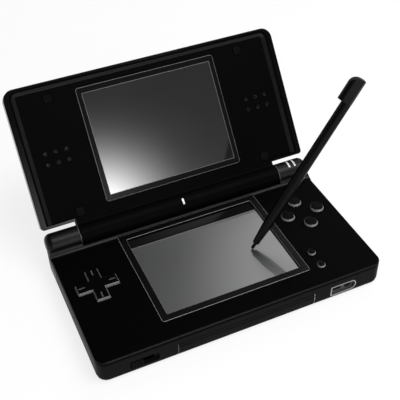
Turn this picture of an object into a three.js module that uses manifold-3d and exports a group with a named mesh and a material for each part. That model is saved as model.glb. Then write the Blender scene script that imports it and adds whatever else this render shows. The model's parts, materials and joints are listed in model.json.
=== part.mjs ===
// Clamshell handheld game console, lid open, its stylus standing on the touch panel.
// Millimetres, +Z up, +X to the user's right, +Y towards the hinge.
// The origin is the centre of the underside that the console rests on.
import * as THREE from 'three';
import { mergeVertices } from 'three/addons/utils/BufferGeometryUtils.js';
import Module from 'manifold-3d';

const wasm = await Module();
wasm.setup();

// Console body
const caseWidth = 133;
const baseDepth = 73.9;
const deckHeight = 12.4;
const deckThickness = 1.7;
const partingGap = 0.2;
const caseWall = 1.5;
const floorThickness = 1.5;
const caseCornerRadius = 4.5;
const bottomEdgeRadius = 2.2;
const deckEdgeRadius = 0.8;
const fitGap = 0.25;
const slideGap = 0.35;
const overrun = 1;
const wallOverrun = 0.15;

// Hinge
const hingeRadius = 5;
const hingeFromBack = 3.05;
const hingeAboveDeck = 2.6;
const earWidth = 15.8;
const hingeRunGap = 0.4;
const earRound = 3;
const sweepRadius = 3;
const sweepSideRise = 3.5;
const lipRise = 1.1;
const troughWall = 1;
const cartridgeRadius = 2.9;
const cartridgeIntoLid = 12.2;
const cartridgeFromSide = 4;
const hingePinRadius = 2.2;
const hingePinIntoLid = 10.7;
const hingePinFromSide = 5;
const wideBoreFromEar = 20.7;
const hingePlay = 0.3;
const lidOpening = 127.5;

// Lid
const lidThickness = 7.6;
const lidFaceAboveDeck = 1.5;
const lidHingeEdge = 6.85;
const lidCornerRadius = 5;
const lidHingeCornerRadius = 1.5;
const lidOuterRound = 3.2;
const lidRimHeight = 0.9;
const lidRimRound = 0.3;
const lidSideRim = 2.6;
const lidEndRim = 1.3;
const lidCoverThickness = 1.4;
const lidFrameThickness = 2;
const trayLip = 0.3;
const traySlopeSide = 2.6;
const traySlopeEnd = 1.8;
const neckTop = 4.5;
const neckBase = 3;
const creaseRadius = 1;

// Upper screen, speakers, pads and microphone
const lensFromSide = 32.35;
const lensHingeMargin = 4.35;
const lensEndMargin = 6.35;
const lensThickness = 0.95;
const lensCorner = 1.2;
const upperWindowSideMargin = 2.35;
const upperWindowEndMargin = 2.65;
const displaySideMargin = 3.2;
const displayEndMargin = 3.25;
const upperDisplayThickness = 2;
const speakerHolePitch = 5;
const speakerHoleRadius = 0.6;
const speakerColumns = 3;
const speakerRows = 2;
const speakerFromSide = 16.2;
const speakerBelowScreen = 0.75;
const speakerRadius = 7.8;
const speakerThickness = 2.6;
const padSize = 4;
const padCorner = 0.7;
const padProud = 0.3;
const padPocket = 0.6;
const padFromSide = 19.3;
const padFromEnd = 7.5;
const padFromHingeEdge = 3.7;
const micWidth = 0.9;
const micDepth = 1;
const micStart = 109;
const micEnd = 142;
const ribbonFromBarrelEnd = 28.3;

// Touch panel and its bezel
const bezelFromSide = 31.6;
const bezelFromFront = 9.25;
const bezelFromBack = 9.45;
const bezelAboveDeck = 0.5;
const bezelSunk = 0.4;
const bezelSeatGap = 0.1;
const bezelCorner = 1.3;
const bezelChamfer = 0.25;
const bezelRim = 3.3;
const touchWindowCorner = 0.5;
const touchGlassMargin = 1.5;
const touchGlassGap = 0.15;
const touchGlassAboveUnderside = 0.15;
const displayGap = 0.35;
const lowerDisplayThickness = 1.2;

// Controls on the deck
const crossOutward = 1.8;
const crossY = 3.8;
const crossSpan = 19;
const crossArm = 6.4;
const crossCorner = 0.7;
const crossHeight = 1;
const crossRound = 0.35;
const crossGap = 0.45;
const crossSkirt = 0.8;
const crossSkirtDrop = 0.75;
const crossSkirtThickness = 0.4;
const crossMarkLength = 3;
const crossMarkWidth = 0.6;
const crossMarkDepth = 0.35;
const crossMarkInset = 2.6;
const rockerPocketRadius = 2.9;
const rockerRadius = 2.4;
const rockerFootRadius = 1.6;
const rockerFootGap = 0.2;
const rockerHeight = 1.05;
const rockerHeadGap = 0.3;
const faceInward = 0.1;
const faceCentreY = 6.7;
const faceSpacing = 7.8;
const faceButtonRadius = 3.35;
const faceButtonHeight = 1;
const smallButtonFromBezel = 6;
const startFromFront = 18.55;
const smallButtonPitch = 8.3;
const smallButtonRadius = 1.9;
const smallButtonHeight = 0.7;
const buttonGap = 0.4;
const holeChamfer = 0.3;
const buttonShoulder = 0.5;
const buttonCrown = 0.15;
const flangeReach = 0.95;
const flangeThickness = 0.5;
const flangeDrop = 0.4;

// Main board and what lies on or under it
const boardThickness = 0.8;
const boardUnderDisplay = 0.5;
const boardFromSide = 2.5;
const boardFromFront = 2.45;
const boardFromTrigger = 2.9;
const boardCorner = 3;
const membraneLift = 0.05;
const membraneThickness = 0.2;
const crossMembraneRadius = 6.5;
const faceMembraneRadius = 10.5;
const smallMembraneWidth = 6.4;
const smallMembraneDepth = 15;
const membraneCorner = 1.5;
const wirelessFromSide = 8.5;
const wirelessWidth = 20;
const wirelessFromJack = 3.5;
const wirelessFromSilo = 1.15;
const underBoardGap = 0.2;
const wirelessThickness = 2;

// Battery and its cover
const batteryFromSide = 4;
const batteryFromSlot = 5.65;
const batteryFromSilo = 1.2;
const batteryFromPost = 1.4;
const batteryFromBack = 25.95;
const batteryCorner = 1.6;
const batteryLift = 0.3;
const batteryHeadroom = 0.3;
const batteryRound = 1.2;
const coverMargin = 1;
const coverThickness = 1.4;
const coverTabRadius = 2.8;
const coverTabReach = 4.4;
const coverBossFromSilo = 0.55;
const coverBossHeadroom = 1.3;
const coverBossFlange = 4.3;
const coverBossFlangeTop = 3;
const coverHeadHeight = 0.6;
const coverHeadRecess = 0.15;
const coverScrewShort = 1;

// Screws
const screwHeadRadius = 1.9;
const screwHeadHeight = 1.2;
const screwRecess = 0.6;
const screwShankRadius = 0.9;
const screwShort = 0.5;
const screwGap = 0.3;
const screwSlotWidth = 0.5;
const screwSlotDepth = 0.35;
const postRadius = 3;
const postBelowBoard = 0.2;
const frontPostFromSide = 0.8;
const frontPostFromFront = 1.05;
const backPostInset = 26;
const backPostFromBack = 12.45;

// Front slot with its dust cover
const slotFaceFromSide = 34.5;
const slotFaceBottom = 1;
const slotFaceLap = 0.4;
const slotFaceThickness = 1.4;
const slotGrooveDrop = 1.8;
const slotGrooveSize = 0.3;
const plugInset = 3.2;
const slotLift = 0.35;
const plugHeadroom = 0.8;
const plugDepth = 15;
const cartridgeSlotFromSilo = 2.85;
const slotWall = 0.7;
const slotFloorWall = 0.5;

// Rear card slot and charging socket
const cardSlotWidth = 33.6;
const cardSlotHeadroom = 0.6;
const cardSlotBottom = 2.9;
const cardSlotFromSilo = 1.75;
const chargeFromCardSlot = 13.2;
const chargeWidth = 8.8;
const chargeBottom = 3.9;
const chargeHeadroom = 0.7;
const chargeDepth = 7;
const chargeTongueThickness = 0.8;
const chargeTongueInset = 1.4;
const chargeTongueReach = 5;

// Stylus and its silo
const stylusLength = 89;
const stylusTipRadius = 0.75;
const stylusTipRound = 0.45;
const stylusTipLength = 2.6;
const stylusCollarRadius = 1.25;
const stylusTaper = 15;
const stylusCapLength = 11.5;
const stylusHook = 2.1;
const stylusCapFlat = 1.4;
const stylusCapCorner = 0.8;
const stylusTipX = 17.9;
const stylusTipY = -4.83;
const stylusTipLift = 0.5;
const stylusHeading = 5;
const stylusLean = 35;
const stylusHookHeading = -23.6;
const siloFromPowerSlot = 8.1;
const siloLift = 0.2;
const siloClearance = 0.3;
const siloWall = 0.45;
const siloMouthDepth = 12;
const siloMouthExtra = 2.2;

// Shoulder triggers
const triggerFromBack = 16.65;
const triggerWidth = 14.4;
const triggerThickness = 2.7;
const triggerBottom = 2.9;
const triggerHeadroom = 1.3;
const triggerFrontGap = 1;
const triggerEndGap = 0.4;
const triggerTravelRoom = 1.2;
const triggerPocketWall = 1.2;
const triggerPinInset = 1.5;
const triggerPinDepth = 1.35;
const triggerPinRadius = 0.6;

// Side and front sliders
const powerSlotFromTrigger = 5.2;
const powerSlotLength = 9.6;
const powerKnobLength = 6;
const powerDrop = 1.9;
const volumeSlotFromSide = 13.4;
const volumeSlotLength = 12.6;
const volumeKnobLength = 5.4;
const volumeDrop = 2.7;
const sliderSlotHeight = 4.2;
const sliderSlotCorner = 1;
const sliderRecess = 1;
const sliderProud = 0.2;
const sliderStem = 1.8;
const sliderFoot = 3.2;
const sliderFootDepth = 0.8;
const sliderRibs = 3;
const sliderRibPitch = 1.2;
const sliderRibDepth = 0.3;

// Headphone socket
const jackFromSide = 19.6;
const jackBottom = 1.9;
const jackHeadroom = 0.3;
const jackWidth = 13;
const jackCorner = 0.5;
const jackRim = 0.6;
const jackFaceInset = 0.15;
const jackRecessDepth = 1.2;
const jackDepth = 9.5;
const jackHoleOffset = 2.7;
const jackHoleRadius = 1.75;
const jackHoleDepth = 8.5;
const jackPlugOffset = 2.8;
const jackPlugWidth = 4.4;
const jackPlugHeight = 2.2;

// Status lights in the right-hand ear
const lightFromSide = 9.3;
const lightPitch = 2.9;
const lightCount = 2;
const lightWidth = 0.9;
const lightDepth = 1;
const lightStart = 70;
const lightEnd = 120;
const lightGap = 0.15;

// Smoothness
const cornerSteps = 4;
const edgeSteps = 3;
const roundSteps = 30;
const smallSteps = 18;
const holeSteps = 8;
const screwSteps = 12;
const arcSteps = 5;
const slopeSteps = 4;
const leastCorner = 0.15;

// Derived places, across
const halfWidth = caseWidth / 2;
const earInner = halfWidth - earWidth;
const barrelHalfLength = earInner - hingeRunGap;
const cartridgeInner = earInner - cartridgeIntoLid;
const cartridgeOuter = halfWidth - cartridgeFromSide;
const hingePinInner = earInner - hingePinIntoLid;
const hingePinOuter = halfWidth - hingePinFromSide;
const ribbonHalfLength = barrelHalfLength - ribbonFromBarrelEnd;
const lensWidth = (halfWidth - lensFromSide) * 2;
const bezelWidth = (halfWidth - bezelFromSide) * 2;
const speakerCentre = halfWidth - speakerFromSide;
const controlsMiddle = (halfWidth + bezelWidth / 2) / 2;
const crossX = -controlsMiddle - crossOutward;
const faceCentreX = controlsMiddle - faceInward;
const smallButtonX = bezelWidth / 2 + smallButtonFromBezel;
const triggerInner = halfWidth - triggerWidth;
const triggerPinX = triggerInner + triggerPinInset;
const jackX = halfWidth - jackFromSide;
const volumeSlotLeft = volumeSlotFromSide - halfWidth;
const slotFaceWidth = (halfWidth - slotFaceFromSide) * 2;
const plugWidth = slotFaceWidth - plugInset * 2;
const cartridgeSlotWidth = plugWidth + slideGap * 2;
const chargeX = cardSlotWidth / 2 + chargeFromCardSlot;
const siloInnerEnd = halfWidth - stylusLength - siloClearance - siloWall;
const frontPostX = halfWidth - caseWall - postRadius - frontPostFromSide;
const batteryLeft = batteryFromSide - halfWidth;
const batteryRight = Math.min(
  -cartridgeSlotWidth / 2 - slotWall - batteryFromSlot, siloInnerEnd - batteryFromSilo);
const coverScrewX = batteryRight + coverMargin / 2 + coverTabReach;

// Derived places, up, from the deck down to the floor
const hingeAxisHeight = deckHeight + hingeAboveDeck;
const lidFaceHeight = deckHeight + lidFaceAboveDeck;
const sweepSideTop = deckHeight + sweepSideRise;
const lipHeight = deckHeight + lipRise;
const deckUnderside = deckHeight - deckThickness;
const lowerTop = deckUnderside - partingGap;
const bezelTop = deckHeight + bezelAboveDeck;
const bezelFloor = deckHeight - bezelSunk;
const bezelBottom = bezelFloor + bezelSeatGap;
const touchGlassTop = bezelBottom - touchGlassGap;
const touchGlassBottom = deckUnderside + touchGlassAboveUnderside;
const stylusTipZ = touchGlassTop + stylusTipLift;
const lowerDisplayTop = touchGlassBottom - displayGap;
const boardTop = lowerDisplayTop - lowerDisplayThickness - boardUnderDisplay;
const boardBottom = boardTop - boardThickness;
const membraneBottom = boardTop + membraneLift;
const membraneTop = membraneBottom + membraneThickness;
const rockerBottom = membraneTop + rockerFootGap;
const rockerTop = rockerBottom + rockerHeight;
const rockerPocketTop = rockerTop + rockerHeadGap;
const crossSkirtTop = deckUnderside - crossSkirtDrop;
const flangeTop = deckUnderside - flangeDrop;
const screwTop = deckUnderside - screwShort;
const postSplit = boardTop - postBelowBoard;
const triggerTop = lowerTop - triggerHeadroom;
const innerTop = boardBottom - underBoardGap;
const batteryBottom = coverThickness + batteryLift;
const batteryTop = innerTop - batteryHeadroom;
const coverBossTop = innerTop - coverBossHeadroom;
const coverScrewTop = coverBossTop - coverScrewShort;
const plugBottom = floorThickness + slotLift + slotFloorWall + slideGap;
const plugTop = innerTop - plugHeadroom;
const slotFaceTop = plugTop + slotFaceLap;
const slotGrooveZ = slotFaceTop - slotGrooveDrop;
const cardSlotHeight = innerTop - cardSlotHeadroom - cardSlotBottom;
const chargeHeight = innerTop - chargeHeadroom - chargeBottom;
const jackHeight = innerTop - jackHeadroom - jackBottom;
const jackZ = jackBottom + jackHeight / 2;
const powerZ = innerTop - powerDrop;
const volumeZ = innerTop - volumeDrop;
const siloBottom = floorThickness + siloLift;
const siloBore = innerTop - siloBottom - siloWall * 2;
const stylusRadius = siloBore / 2 - siloClearance;
const stylusCapRound = stylusRadius * 2 + stylusHook - stylusCapCorner - stylusCapFlat;

// Derived places, from front to back
const frontY = -baseDepth / 2;
const backY = baseDepth / 2;
const hingeAxisDepth = backY - hingeFromBack;
const bezelDepth = baseDepth - bezelFromFront - bezelFromBack;
const bezelOffset = (bezelFromFront - bezelFromBack) / 2;
const startButtonY = frontY + startFromFront;
const triggerFront = backY - triggerFromBack;
const triggerPinY = backY - triggerPinDepth;
const powerSlotFront = triggerFront - powerSlotFromTrigger - powerSlotLength;
const siloY = powerSlotFront - siloFromPowerSlot;
const siloFront = siloY - siloBore / 2;
const siloBack = siloY + siloBore / 2;
const siloMouthFront = siloFront - siloMouthExtra;
const cartridgeSlotBack = siloFront - siloWall - cartridgeSlotFromSilo;
const cardSlotFront = siloBack + siloWall + cardSlotFromSilo;
const coverTabY = siloBack + siloWall + coverBossFromSilo + coverBossFlange;
const frontPostY = frontY + caseWall + postRadius + frontPostFromFront;
const batteryFront = frontPostY + postRadius + batteryFromPost;
const batteryBack = backY - batteryFromBack;
const boardFront = frontY + boardFromFront;
const boardBack = triggerFront - boardFromTrigger;
const wirelessFront = frontY + jackDepth + wirelessFromJack;
const wirelessBack = siloMouthFront - siloWall - wirelessFromSilo;

// Derived places of the lid, from its hinge axis
const faceDrop = lidFaceHeight - hingeAxisHeight;
const lidLength = hingeAxisDepth - frontY - lidHingeEdge;
const lidMiddle = -(lidHingeEdge + lidLength / 2);
const lidTop = lidThickness + faceDrop;
const rimBottom = faceDrop - lidRimHeight;
const frameBack = faceDrop + lidFrameThickness;
const lensDepth = lidLength - lensHingeMargin - lensEndMargin;
const screenFromHinge = lidHingeEdge + lensHingeMargin + lensDepth / 2;
const speakerY = speakerBelowScreen - screenFromHinge;

const material = (color, roughness, metalness = 0) =>
  new THREE.MeshStandardMaterial({ color, roughness, metalness });
const glossBlack = material('#0c0c0d', 0.18);
const satinBlack = material('#111112', 0.42);
const buttonBlack = material('#0a0a0b', 0.3);
const faceBlack = material('#1b1c1e', 0.3);
const glassGrey = material('#8d8f92', 0.15);
const lensDark = material('#2b2c2e', 0.08);
const displayGrey = material('#3a3b3d', 0.4, 0.3);
const boardGreen = material('#1f4a33', 0.6);
const rubberGrey = material('#5c5c5c', 0.9);
const batteryGrey = material('#4a4d52', 0.6);
const steel = material('#9a9b9d', 0.35, 0.9);
const socketGrey = material('#8b8c8f', 0.4);
const lightWhite = material('#e6e8ea', 0.3);
const ribbonAmber = material('#8a5a22', 0.5);

// Turns a closed geometry into a solid, leaving out faces that collapse on an axis.
function solid(geometry) {
  const bare = geometry.clone();
  bare.deleteAttribute('normal');
  bare.deleteAttribute('uv');
  const merged = mergeVertices(bare);
  const faces = [];
  for (let i = 0; i < merged.index.count; i += 3) {
    const [a, b, c] = merged.index.array.slice(i, i + 3);
    if (a !== b && b !== c && c !== a) faces.push(a, b, c);
  }
  return new wasm.Manifold(new wasm.Mesh({
    numProp: 3,
    vertProperties: new Float32Array(merged.attributes.position.array),
    triVerts: new Uint32Array(faces),
  }));
}

function geometryOf(body) {
  const { vertProperties, triVerts } = body.getMesh();
  const geometry = new THREE.BufferGeometry();
  geometry.setAttribute('position', new THREE.BufferAttribute(vertProperties, 3));
  geometry.setIndex(new THREE.BufferAttribute(triVerts, 1));
  geometry.computeVertexNormals();
  return geometry;
}

function mesh(name, body, finish, place = [0, 0, 0]) {
  const made = new THREE.Mesh(geometryOf(body), finish);
  made.name = name;
  made.position.set(...place);
  return made;
}

const join = (...bodies) => bodies.reduce((all, one) => all.add(one));
const cut = (body, ...tools) => tools.reduce((rest, tool) => rest.subtract(tool), body);

// The same body on the other side of the console.
function mirrored(body) {
  const geometry = geometryOf(body);
  geometry.scale(-1, 1, 1);
  const index = geometry.index.array;
  for (let i = 0; i < index.length; i += 3) [index[i + 1], index[i + 2]] = [index[i + 2], index[i + 1]];
  return solid(geometry);
}

const sided = (body, side) => (side > 0 ? body : mirrored(body));

// A rectangle centred on x, y; the corners at the back may have a radius of their own.
function frameOf(x, y, width, depth, corner, backCorner = corner) {
  return {
    left: x - width / 2, right: x + width / 2, front: y - depth / 2, back: y + depth / 2,
    corner, backCorner,
  };
}

function inset(frame, side, front = side, back = side) {
  return {
    left: frame.left + side, right: frame.right - side,
    front: frame.front + front, back: frame.back - back,
    corner: Math.max(frame.corner - Math.min(side, front), leastCorner),
    backCorner: Math.max(frame.backCorner - Math.min(side, back), leastCorner),
  };
}

// The frame's rounded outline, anticlockwise, always with the same number of points.
function outline({ left, right, front, back, corner, backCorner }) {
  const corners = [
    [right - corner, front + corner, corner, -Math.PI / 2],
    [right - backCorner, back - backCorner, backCorner, 0],
    [left + backCorner, back - backCorner, backCorner, Math.PI / 2],
    [left + corner, front + corner, corner, Math.PI],
  ];
  const points = [];
  for (const [x, y, radius, start] of corners) {
    for (let step = 0; step <= cornerSteps; step += 1) {
      const angle = start + (Math.PI / 2) * (step / cornerSteps);
      points.push(new THREE.Vector2(x + radius * Math.cos(angle), y + radius * Math.sin(angle)));
    }
  }
  return points;
}

// Joins frames from the lowest to the highest into one closed body.
function stack(levels) {
  const rings = levels.map(({ frame }) => outline(frame));
  const count = rings[0].length;
  const position = rings.flatMap((ring, i) => ring.flatMap(({ x, y }) => [x, y, levels[i].z]));
  const index = [];
  for (let low = 0; low < (rings.length - 1) * count; low += count) {
    const high = low + count;
    for (let i = 0; i < count; i += 1) {
      const next = (i + 1) % count;
      index.push(low + i, low + next, high + next, low + i, high + next, high + i);
    }
  }
  const last = (rings.length - 1) * count;
  for (const [a, b, c] of THREE.ShapeUtils.triangulateShape(rings[0], [])) index.push(c, b, a);
  for (const [a, b, c] of THREE.ShapeUtils.triangulateShape(rings.at(-1), [])) {
    index.push(last + a, last + b, last + c);
  }
  const geometry = new THREE.BufferGeometry();
  geometry.setAttribute('position', new THREE.Float32BufferAttribute(position, 3));
  geometry.setIndex(index);
  return solid(geometry);
}

const slab = (frame, bottom, top) => stack([{ z: bottom, frame }, { z: top, frame }]);

// A slab whose bottom and top edges may be rounded over.
function loaf(frame, bottom, top, { bottomRound = 0, topRound = 0 }) {
  const levels = [];
  const low = bottomRound > 0 ? edgeSteps : 0;
  const high = topRound > 0 ? edgeSteps : 0;
  for (let step = 0; step <= low; step += 1) {
    const angle = low ? (Math.PI / 2) * (step / low) : 0;
    levels.push({
      z: bottom + bottomRound * (1 - Math.cos(angle)),
      frame: inset(frame, bottomRound * (1 - Math.sin(angle))),
    });
  }
  for (let step = 0; step <= high; step += 1) {
    const angle = high ? (Math.PI / 2) * (step / high) : 0;
    levels.push({
      z: top - topRound * (1 - Math.sin(angle)),
      frame: inset(frame, topRound * (1 - Math.cos(angle))),
    });
  }
  return stack(levels);
}

function block(left, right, front, back, bottom, top) {
  const geometry = new THREE.BoxGeometry(right - left, back - front, top - bottom);
  geometry.translate((left + right) / 2, (front + back) / 2, (bottom + top) / 2);
  return solid(geometry);
}

// An upright round body; a second radius makes it taper towards the top.
function disc(x, y, radius, bottom, top, topRadius = radius, steps = smallSteps) {
  const geometry = new THREE.CylinderGeometry(topRadius, radius, top - bottom, steps);
  geometry.rotateX(Math.PI / 2);
  geometry.translate(x, y, (bottom + top) / 2);
  return solid(geometry);
}

// A round body along X, on the hinge axis of the base unless told otherwise.
function rod(radius, left, right, y = hingeAxisDepth, z = hingeAxisHeight) {
  const geometry = new THREE.CylinderGeometry(radius, radius, right - left, roundSteps);
  geometry.rotateZ(-Math.PI / 2);
  geometry.translate((left + right) / 2, y, z);
  return solid(geometry);
}

// Turns a profile of radius and height pairs around Z.
function turned(profile, steps = smallSteps) {
  const points = profile.map(([radius, height]) => new THREE.Vector2(radius, height));
  const geometry = new THREE.LatheGeometry(points, steps);
  geometry.rotateX(Math.PI / 2);
  return solid(geometry);
}

function extrusion(shape, length, steps = cornerSteps) {
  return new THREE.ExtrudeGeometry(shape, {
    depth: length, bevelEnabled: false, curveSegments: steps,
  });
}

// Pushes an outline drawn in X and Y up along Z.
function extrudeZ(shape, bottom, top) {
  const geometry = extrusion(shape, top - bottom);
  geometry.translate(0, 0, bottom);
  return solid(geometry);
}

// Pushes an outline drawn in X and Z along Y.
function extrudeY(shape, front, back) {
  const geometry = extrusion(shape, back - front);
  geometry.rotateX(Math.PI / 2);
  geometry.translate(0, back, 0);
  return solid(geometry);
}

// Pushes an outline drawn in Y and Z along X.
function extrudeX(shape, left, right, steps = cornerSteps) {
  const geometry = extrusion(shape, right - left, steps);
  geometry.applyMatrix4(new THREE.Matrix4().makeBasis(
    new THREE.Vector3(0, 1, 0), new THREE.Vector3(0, 0, 1), new THREE.Vector3(1, 0, 0)));
  geometry.translate(left, 0, 0);
  return solid(geometry);
}

// A slice of a tube wall around an axis along X; angles in degrees from +Y towards +Z.
function tubeSlice(inner, outer, start, end, left, right) {
  const from = THREE.MathUtils.degToRad(start);
  const to = THREE.MathUtils.degToRad(end);
  const shape = new THREE.Shape();
  shape.absarc(0, 0, outer, from, to, false);
  shape.absarc(0, 0, inner, to, from, true);
  shape.closePath();
  return extrudeX(shape, left, right, arcSteps);
}

// A rounded opening drawn in a wall's own plane; its right-hand end may be rounder.
function opening(left, right, bottom, top, corner, rightCorner = corner) {
  const shape = new THREE.Shape();
  shape.moveTo(left + corner, bottom);
  shape.absarc(right - rightCorner, bottom + rightCorner, rightCorner, -Math.PI / 2, 0, false);
  shape.absarc(right - rightCorner, top - rightCorner, rightCorner, 0, Math.PI / 2, false);
  shape.absarc(left + corner, top - corner, corner, Math.PI / 2, Math.PI, false);
  shape.absarc(left + corner, bottom + corner, corner, Math.PI, Math.PI * 1.5, false);
  return shape;
}

const caseFrame = frameOf(0, 0, caseWidth, baseDepth, caseCornerRadius);
const bezelFrame = frameOf(0, bezelOffset, bezelWidth, bezelDepth, bezelCorner);
const touchWindow = {
  ...inset(bezelFrame, bezelRim), corner: touchWindowCorner, backCorner: touchWindowCorner,
};
const glassFrame = inset(touchWindow, -touchGlassMargin);
const batteryFrame = frameOf((batteryLeft + batteryRight) / 2, (batteryFront + batteryBack) / 2,
  batteryRight - batteryLeft, batteryBack - batteryFront, batteryCorner);
const lidFrame = frameOf(0, lidMiddle, caseWidth, lidLength, lidCornerRadius, lidHingeCornerRadius);
const coverRimInner = inset(lidFrame, lidSideRim, lidEndRim, lidEndRim);
const trayFrame = inset(coverRimInner, fitGap);
const lensFrame = frameOf(0, -screenFromHinge, lensWidth, lensDepth, lensCorner);
const upperWindow = inset(lensFrame, upperWindowSideMargin, upperWindowEndMargin, upperWindowEndMargin);
const caseForm = loaf(caseFrame, 0, deckHeight, { bottomRound: bottomEdgeRadius, topRound: deckEdgeRadius });
const hingeRoom = rod(hingeRadius + hingeRunGap, -earInner, earInner);
const aboveParting = block(-caseWidth, caseWidth, -caseWidth, caseWidth, deckUnderside, caseWidth);
const belowParting = block(-caseWidth, caseWidth, -caseWidth, caseWidth, -overrun, lowerTop);

const screwPlaces = [
  [-frontPostX, frontPostY], [frontPostX, frontPostY],
  [backPostInset - halfWidth, backY - backPostFromBack],
  [halfWidth - backPostInset, backY - backPostFromBack],
];
const facePlaces = {
  face_button_left: [faceCentreX - faceSpacing, faceCentreY],
  face_button_back: [faceCentreX, faceCentreY + faceSpacing],
  face_button_right: [faceCentreX + faceSpacing, faceCentreY],
  face_button_front: [faceCentreX, faceCentreY - faceSpacing],
};
const smallPlaces = {
  start_button: [smallButtonX, startButtonY],
  select_button: [smallButtonX, startButtonY - smallButtonPitch],
};
const padX = halfWidth - padFromSide;
const padPlaces = [padFromEnd - lidHingeEdge - lidLength, -lidHingeEdge - padFromHingeEdge].flatMap(
  (y) => [[-padX, y, 0], [padX, y, 0]]);
const lightPlaces = Array.from({ length: lightCount }, (_, i) => halfWidth - lightFromSide + i * lightPitch);

// Triggers

// The trigger's plan on the right side, its outer faces moved out by a given amount.
function triggerPlan(outer, front, inner, thickness) {
  const shape = new THREE.Shape();
  shape.moveTo(halfWidth + outer, front);
  shape.lineTo(halfWidth + outer, backY - caseCornerRadius);
  shape.absarc(halfWidth - caseCornerRadius, backY - caseCornerRadius, caseCornerRadius + outer,
    0, Math.PI / 2, false);
  shape.lineTo(inner, backY + outer);
  shape.lineTo(inner, backY - thickness);
  shape.lineTo(halfWidth - caseCornerRadius, backY - thickness);
  shape.lineTo(halfWidth - thickness, backY - caseCornerRadius);
  shape.lineTo(halfWidth - thickness, front);
  shape.closePath();
  return shape;
}

function trigger(side) {
  const plan = triggerPlan(0, triggerFront, triggerInner, triggerThickness);
  const hole = disc(triggerPinX, triggerPinY, triggerPinRadius + fitGap,
    triggerBottom - overrun, triggerTop + overrun);
  return sided(extrudeZ(plan, triggerBottom, triggerTop).subtract(hole), side);
}

// The corner of the lower case that a trigger works in: its walls, and the room cut from them.
function triggerPocket(side) {
  const depth = triggerThickness + triggerTravelRoom;
  const behind = depth + triggerPocketWall;
  const bottom = triggerBottom - slideGap;
  const top = triggerTop + slideGap;
  const room = triggerPlan(overrun, triggerFront - triggerFrontGap, triggerInner - triggerEndGap, depth);
  const inner = triggerInner - triggerEndGap - triggerPocketWall;
  const front = triggerFront - triggerFrontGap - triggerPocketWall;
  const walls = block(inner, halfWidth, front, backY, 0, lowerTop).subtract(
    block(0, halfWidth - behind, 0, backY - behind, -overrun, deckHeight));
  const pin = disc(triggerPinX, triggerPinY, triggerPinRadius, bottom - fitGap, top + fitGap);
  return {
    walls: sided(walls, side).intersect(caseForm),
    room: sided(extrudeZ(room, bottom, top).subtract(pin), side),
  };
}

// Base, lower case
function coverPlan(grow, bottom, top) {
  const plan = inset(batteryFrame, -coverMargin / 2);
  const reach = coverTabRadius + grow;
  return join(
    slab(inset(plan, -grow), bottom, top),
    disc(coverScrewX, coverTabY, reach, bottom, top),
    block(plan.right - overrun, coverScrewX, coverTabY - reach, coverTabY + reach, bottom, top));
}

const headHole = (x, y, top) => disc(x, y, screwHeadRadius + screwGap, -overrun, top);
const shankHole = (x, y, bottom, top) =>
  disc(x, y, screwShankRadius + screwGap, bottom, top, screwShankRadius + screwGap, screwSteps);

function sliderSlot(start, length, z) {
  const reach = sliderSlotHeight / 2;
  return opening(start, start + length, z - reach, z + reach, sliderSlotCorner);
}

// Where a slider's stem reaches, from one end of its travel to the other.
function stemSpan(start, slotLength, knobLength) {
  const side = slideGap + knobLength / 2 - sliderStem / 2 - slideGap;
  return [start + side, start + slotLength - side];
}

function jackShape(shrink) {
  const left = jackX - jackWidth / 2 + shrink;
  const right = jackX + jackWidth / 2 - shrink;
  const reach = jackHeight / 2 - shrink;
  return opening(left, right, jackZ - reach, jackZ + reach, jackCorner, reach - leastCorner);
}

function frontWallCuts() {
  const wallIn = frontY + caseWall + wallOverrun;
  const [stemLeft, stemRight] = stemSpan(volumeSlotLeft, volumeSlotLength, volumeKnobLength);
  const stemReach = sliderStem / 2 + slideGap;
  return [
    block(-slotFaceWidth / 2 - fitGap, slotFaceWidth / 2 + fitGap, frontY - overrun, wallIn,
      slotFaceBottom - fitGap, slotFaceTop + fitGap),
    extrudeY(jackShape(-fitGap), frontY - overrun, wallIn),
    extrudeY(sliderSlot(volumeSlotLeft, volumeSlotLength, volumeZ),
      frontY - overrun, frontY + sliderRecess),
    block(stemLeft, stemRight, frontY, wallIn, volumeZ - stemReach, volumeZ + stemReach),
  ];
}

function otherWallCuts() {
  const backIn = backY - caseWall - wallOverrun;
  const sideIn = halfWidth - caseWall - wallOverrun;
  const [stemFront, stemBack] = stemSpan(powerSlotFront, powerSlotLength, powerKnobLength);
  const stemReach = sliderStem / 2 + slideGap;
  return [
    block(-cardSlotWidth / 2, cardSlotWidth / 2, backIn, backY + overrun,
      cardSlotBottom, cardSlotBottom + cardSlotHeight),
    block(chargeX - chargeWidth / 2, chargeX + chargeWidth / 2, backIn, backY + overrun,
      chargeBottom, chargeBottom + chargeHeight),
    block(sideIn, halfWidth + overrun, siloMouthFront, siloBack, siloBottom + siloWall,
      siloBottom + siloWall + siloBore),
    extrudeX(sliderSlot(powerSlotFront, powerSlotLength, powerZ),
      halfWidth - sliderRecess, halfWidth + overrun),
    block(sideIn, halfWidth, stemFront, stemBack, powerZ - stemReach, powerZ + stemReach),
  ];
}

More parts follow.
